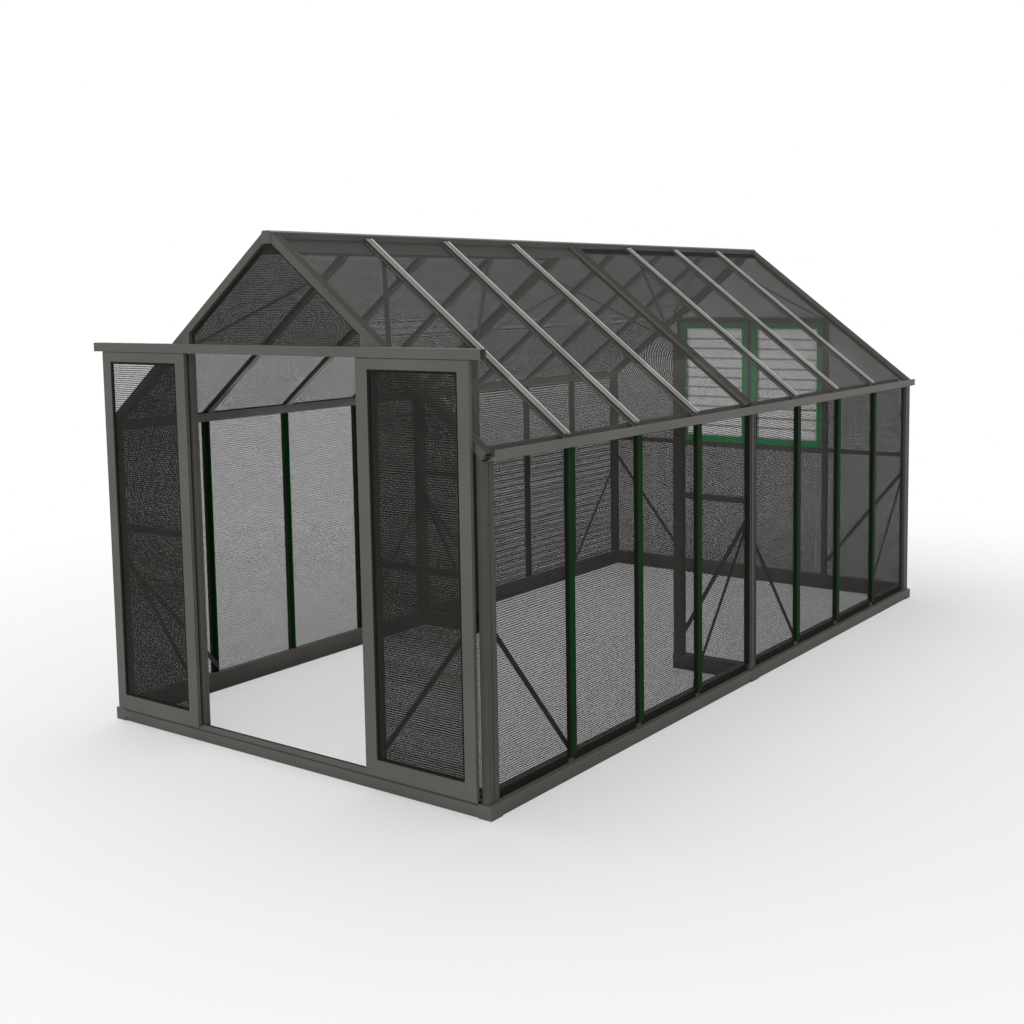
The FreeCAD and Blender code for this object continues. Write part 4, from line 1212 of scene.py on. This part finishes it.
def stage_inside_light(name, power, height, way):
    """Soft light inside the house, out of the camera's sight."""
    low, high = (Vector(corner) for corner in CAD_BOX)
    lamp = add_light(name, "AREA", power, UP * height, way)
    lamp.data.shape = "RECTANGLE"
    lamp.data.size = (high.x - low.x) * INSIDE_SHARE[0]
    lamp.data.size_y = (high.y - low.y) * INSIDE_SHARE[1]
    lamp.visible_camera = False
    lamp.visible_glossy = False
    lamp.visible_transmission = False


def stage_camera(stage):
    """Camera that sees the house as it was photographed."""
    data = bpy.data.cameras.new("camera")
    data.sensor_fit = "HORIZONTAL"
    data.lens = stage.lens * data.sensor_width
    data.shift_x, data.shift_y = stage.shift
    data.clip_end = VIEW_END
    camera = bpy.data.objects.new("camera", data)
    level = math.cos(stage.elevation)
    back = Vector(
        (
            math.sin(stage.azimuth) * level,
            -math.cos(stage.azimuth) * level,
            math.sin(stage.elevation),
        )
    )
    right = Vector((math.cos(stage.azimuth), math.sin(stage.azimuth), 0))
    over = back.cross(right)
    turn = Matrix((right, over, back)).transposed().to_4x4()
    camera.matrix_world = (
        Matrix.Translation(stage.place) @ turn @ Matrix.Rotation(stage.roll, 4, "Z")
    )
    bpy.context.scene.collection.objects.link(camera)
    bpy.context.scene.camera = camera


class SHADEHOUSE_OT_stage(bpy.types.Operator):
    """Set up the floor, the light and the camera"""

    bl_idname = "shade_house.stage"
    bl_label = "Set stage"

    def execute(self, context):
        stage = settings("stage")
        context.scene.view_settings.view_transform = "Standard"
        stage_floor(settings("colours").floor, stage.floor_glow)
        stage_sky(stage.sky)
        stage_lamp("soft_lamp", stage.lamp_place, stage.lamp_size, stage.lamp_power)
        stage_level_light("front_light", stage.front_light, 0.0)
        stage_level_light("side_light", stage.side_light, stage.azimuth)
        stage_inside_light("floor_light", stage.floor_light, FLOOR_LIGHT_HEIGHT, UP)
        stage_inside_light("eaves_light", stage.eaves_light, EAVES_LIGHT_HEIGHT, -UP)
        stage_camera(stage)
        return {"FINISHED"}


STEPS = (
    SHADEHOUSE_OT_stage,
    SHADEHOUSE_OT_paint,
    SHADEHOUSE_OT_trim,
    SHADEHOUSE_OT_cloth,
    SHADEHOUSE_OT_doors,
    SHADEHOUSE_OT_louvres,
)


class SHADEHOUSE_PT_panel(bpy.types.Panel):
    """Lists the steps and the settings"""

    bl_idname = "SHADEHOUSE_PT_panel"
    bl_label = "Shade house"
    bl_space_type = "VIEW_3D"
    bl_region_type = "UI"
    bl_category = "Shade house"

    def draw(self, context):
        for step in STEPS:
            self.layout.operator(step.bl_idname)
        for name, group in SETTINGS.items():
            box = self.layout.box()
            for field in group.__annotations__:
                box.prop(settings(name), field)


CLASSES = (*SETTINGS.values(), *STEPS, SHADEHOUSE_PT_panel)


def register():
    for entry in CLASSES:
        bpy.utils.register_class(entry)
    for name, group in SETTINGS.items():
        setattr(bpy.types.Scene, "shade_house_" + name, bpy.props.PointerProperty(type=group))


def unregister():
    for name in SETTINGS:
        delattr(bpy.types.Scene, "shade_house_" + name)
    for entry in reversed(CLASSES):
        bpy.utils.unregister_class(entry)


def main():
    register()
    bpy.ops.shade_house.stage()
    bpy.ops.shade_house.paint()
    bpy.ops.shade_house.trim()
    bpy.ops.shade_house.cloth()
    bpy.ops.shade_house.doors()
    bpy.ops.shade_house.louvres()


if __name__ == "__main__":
    main()
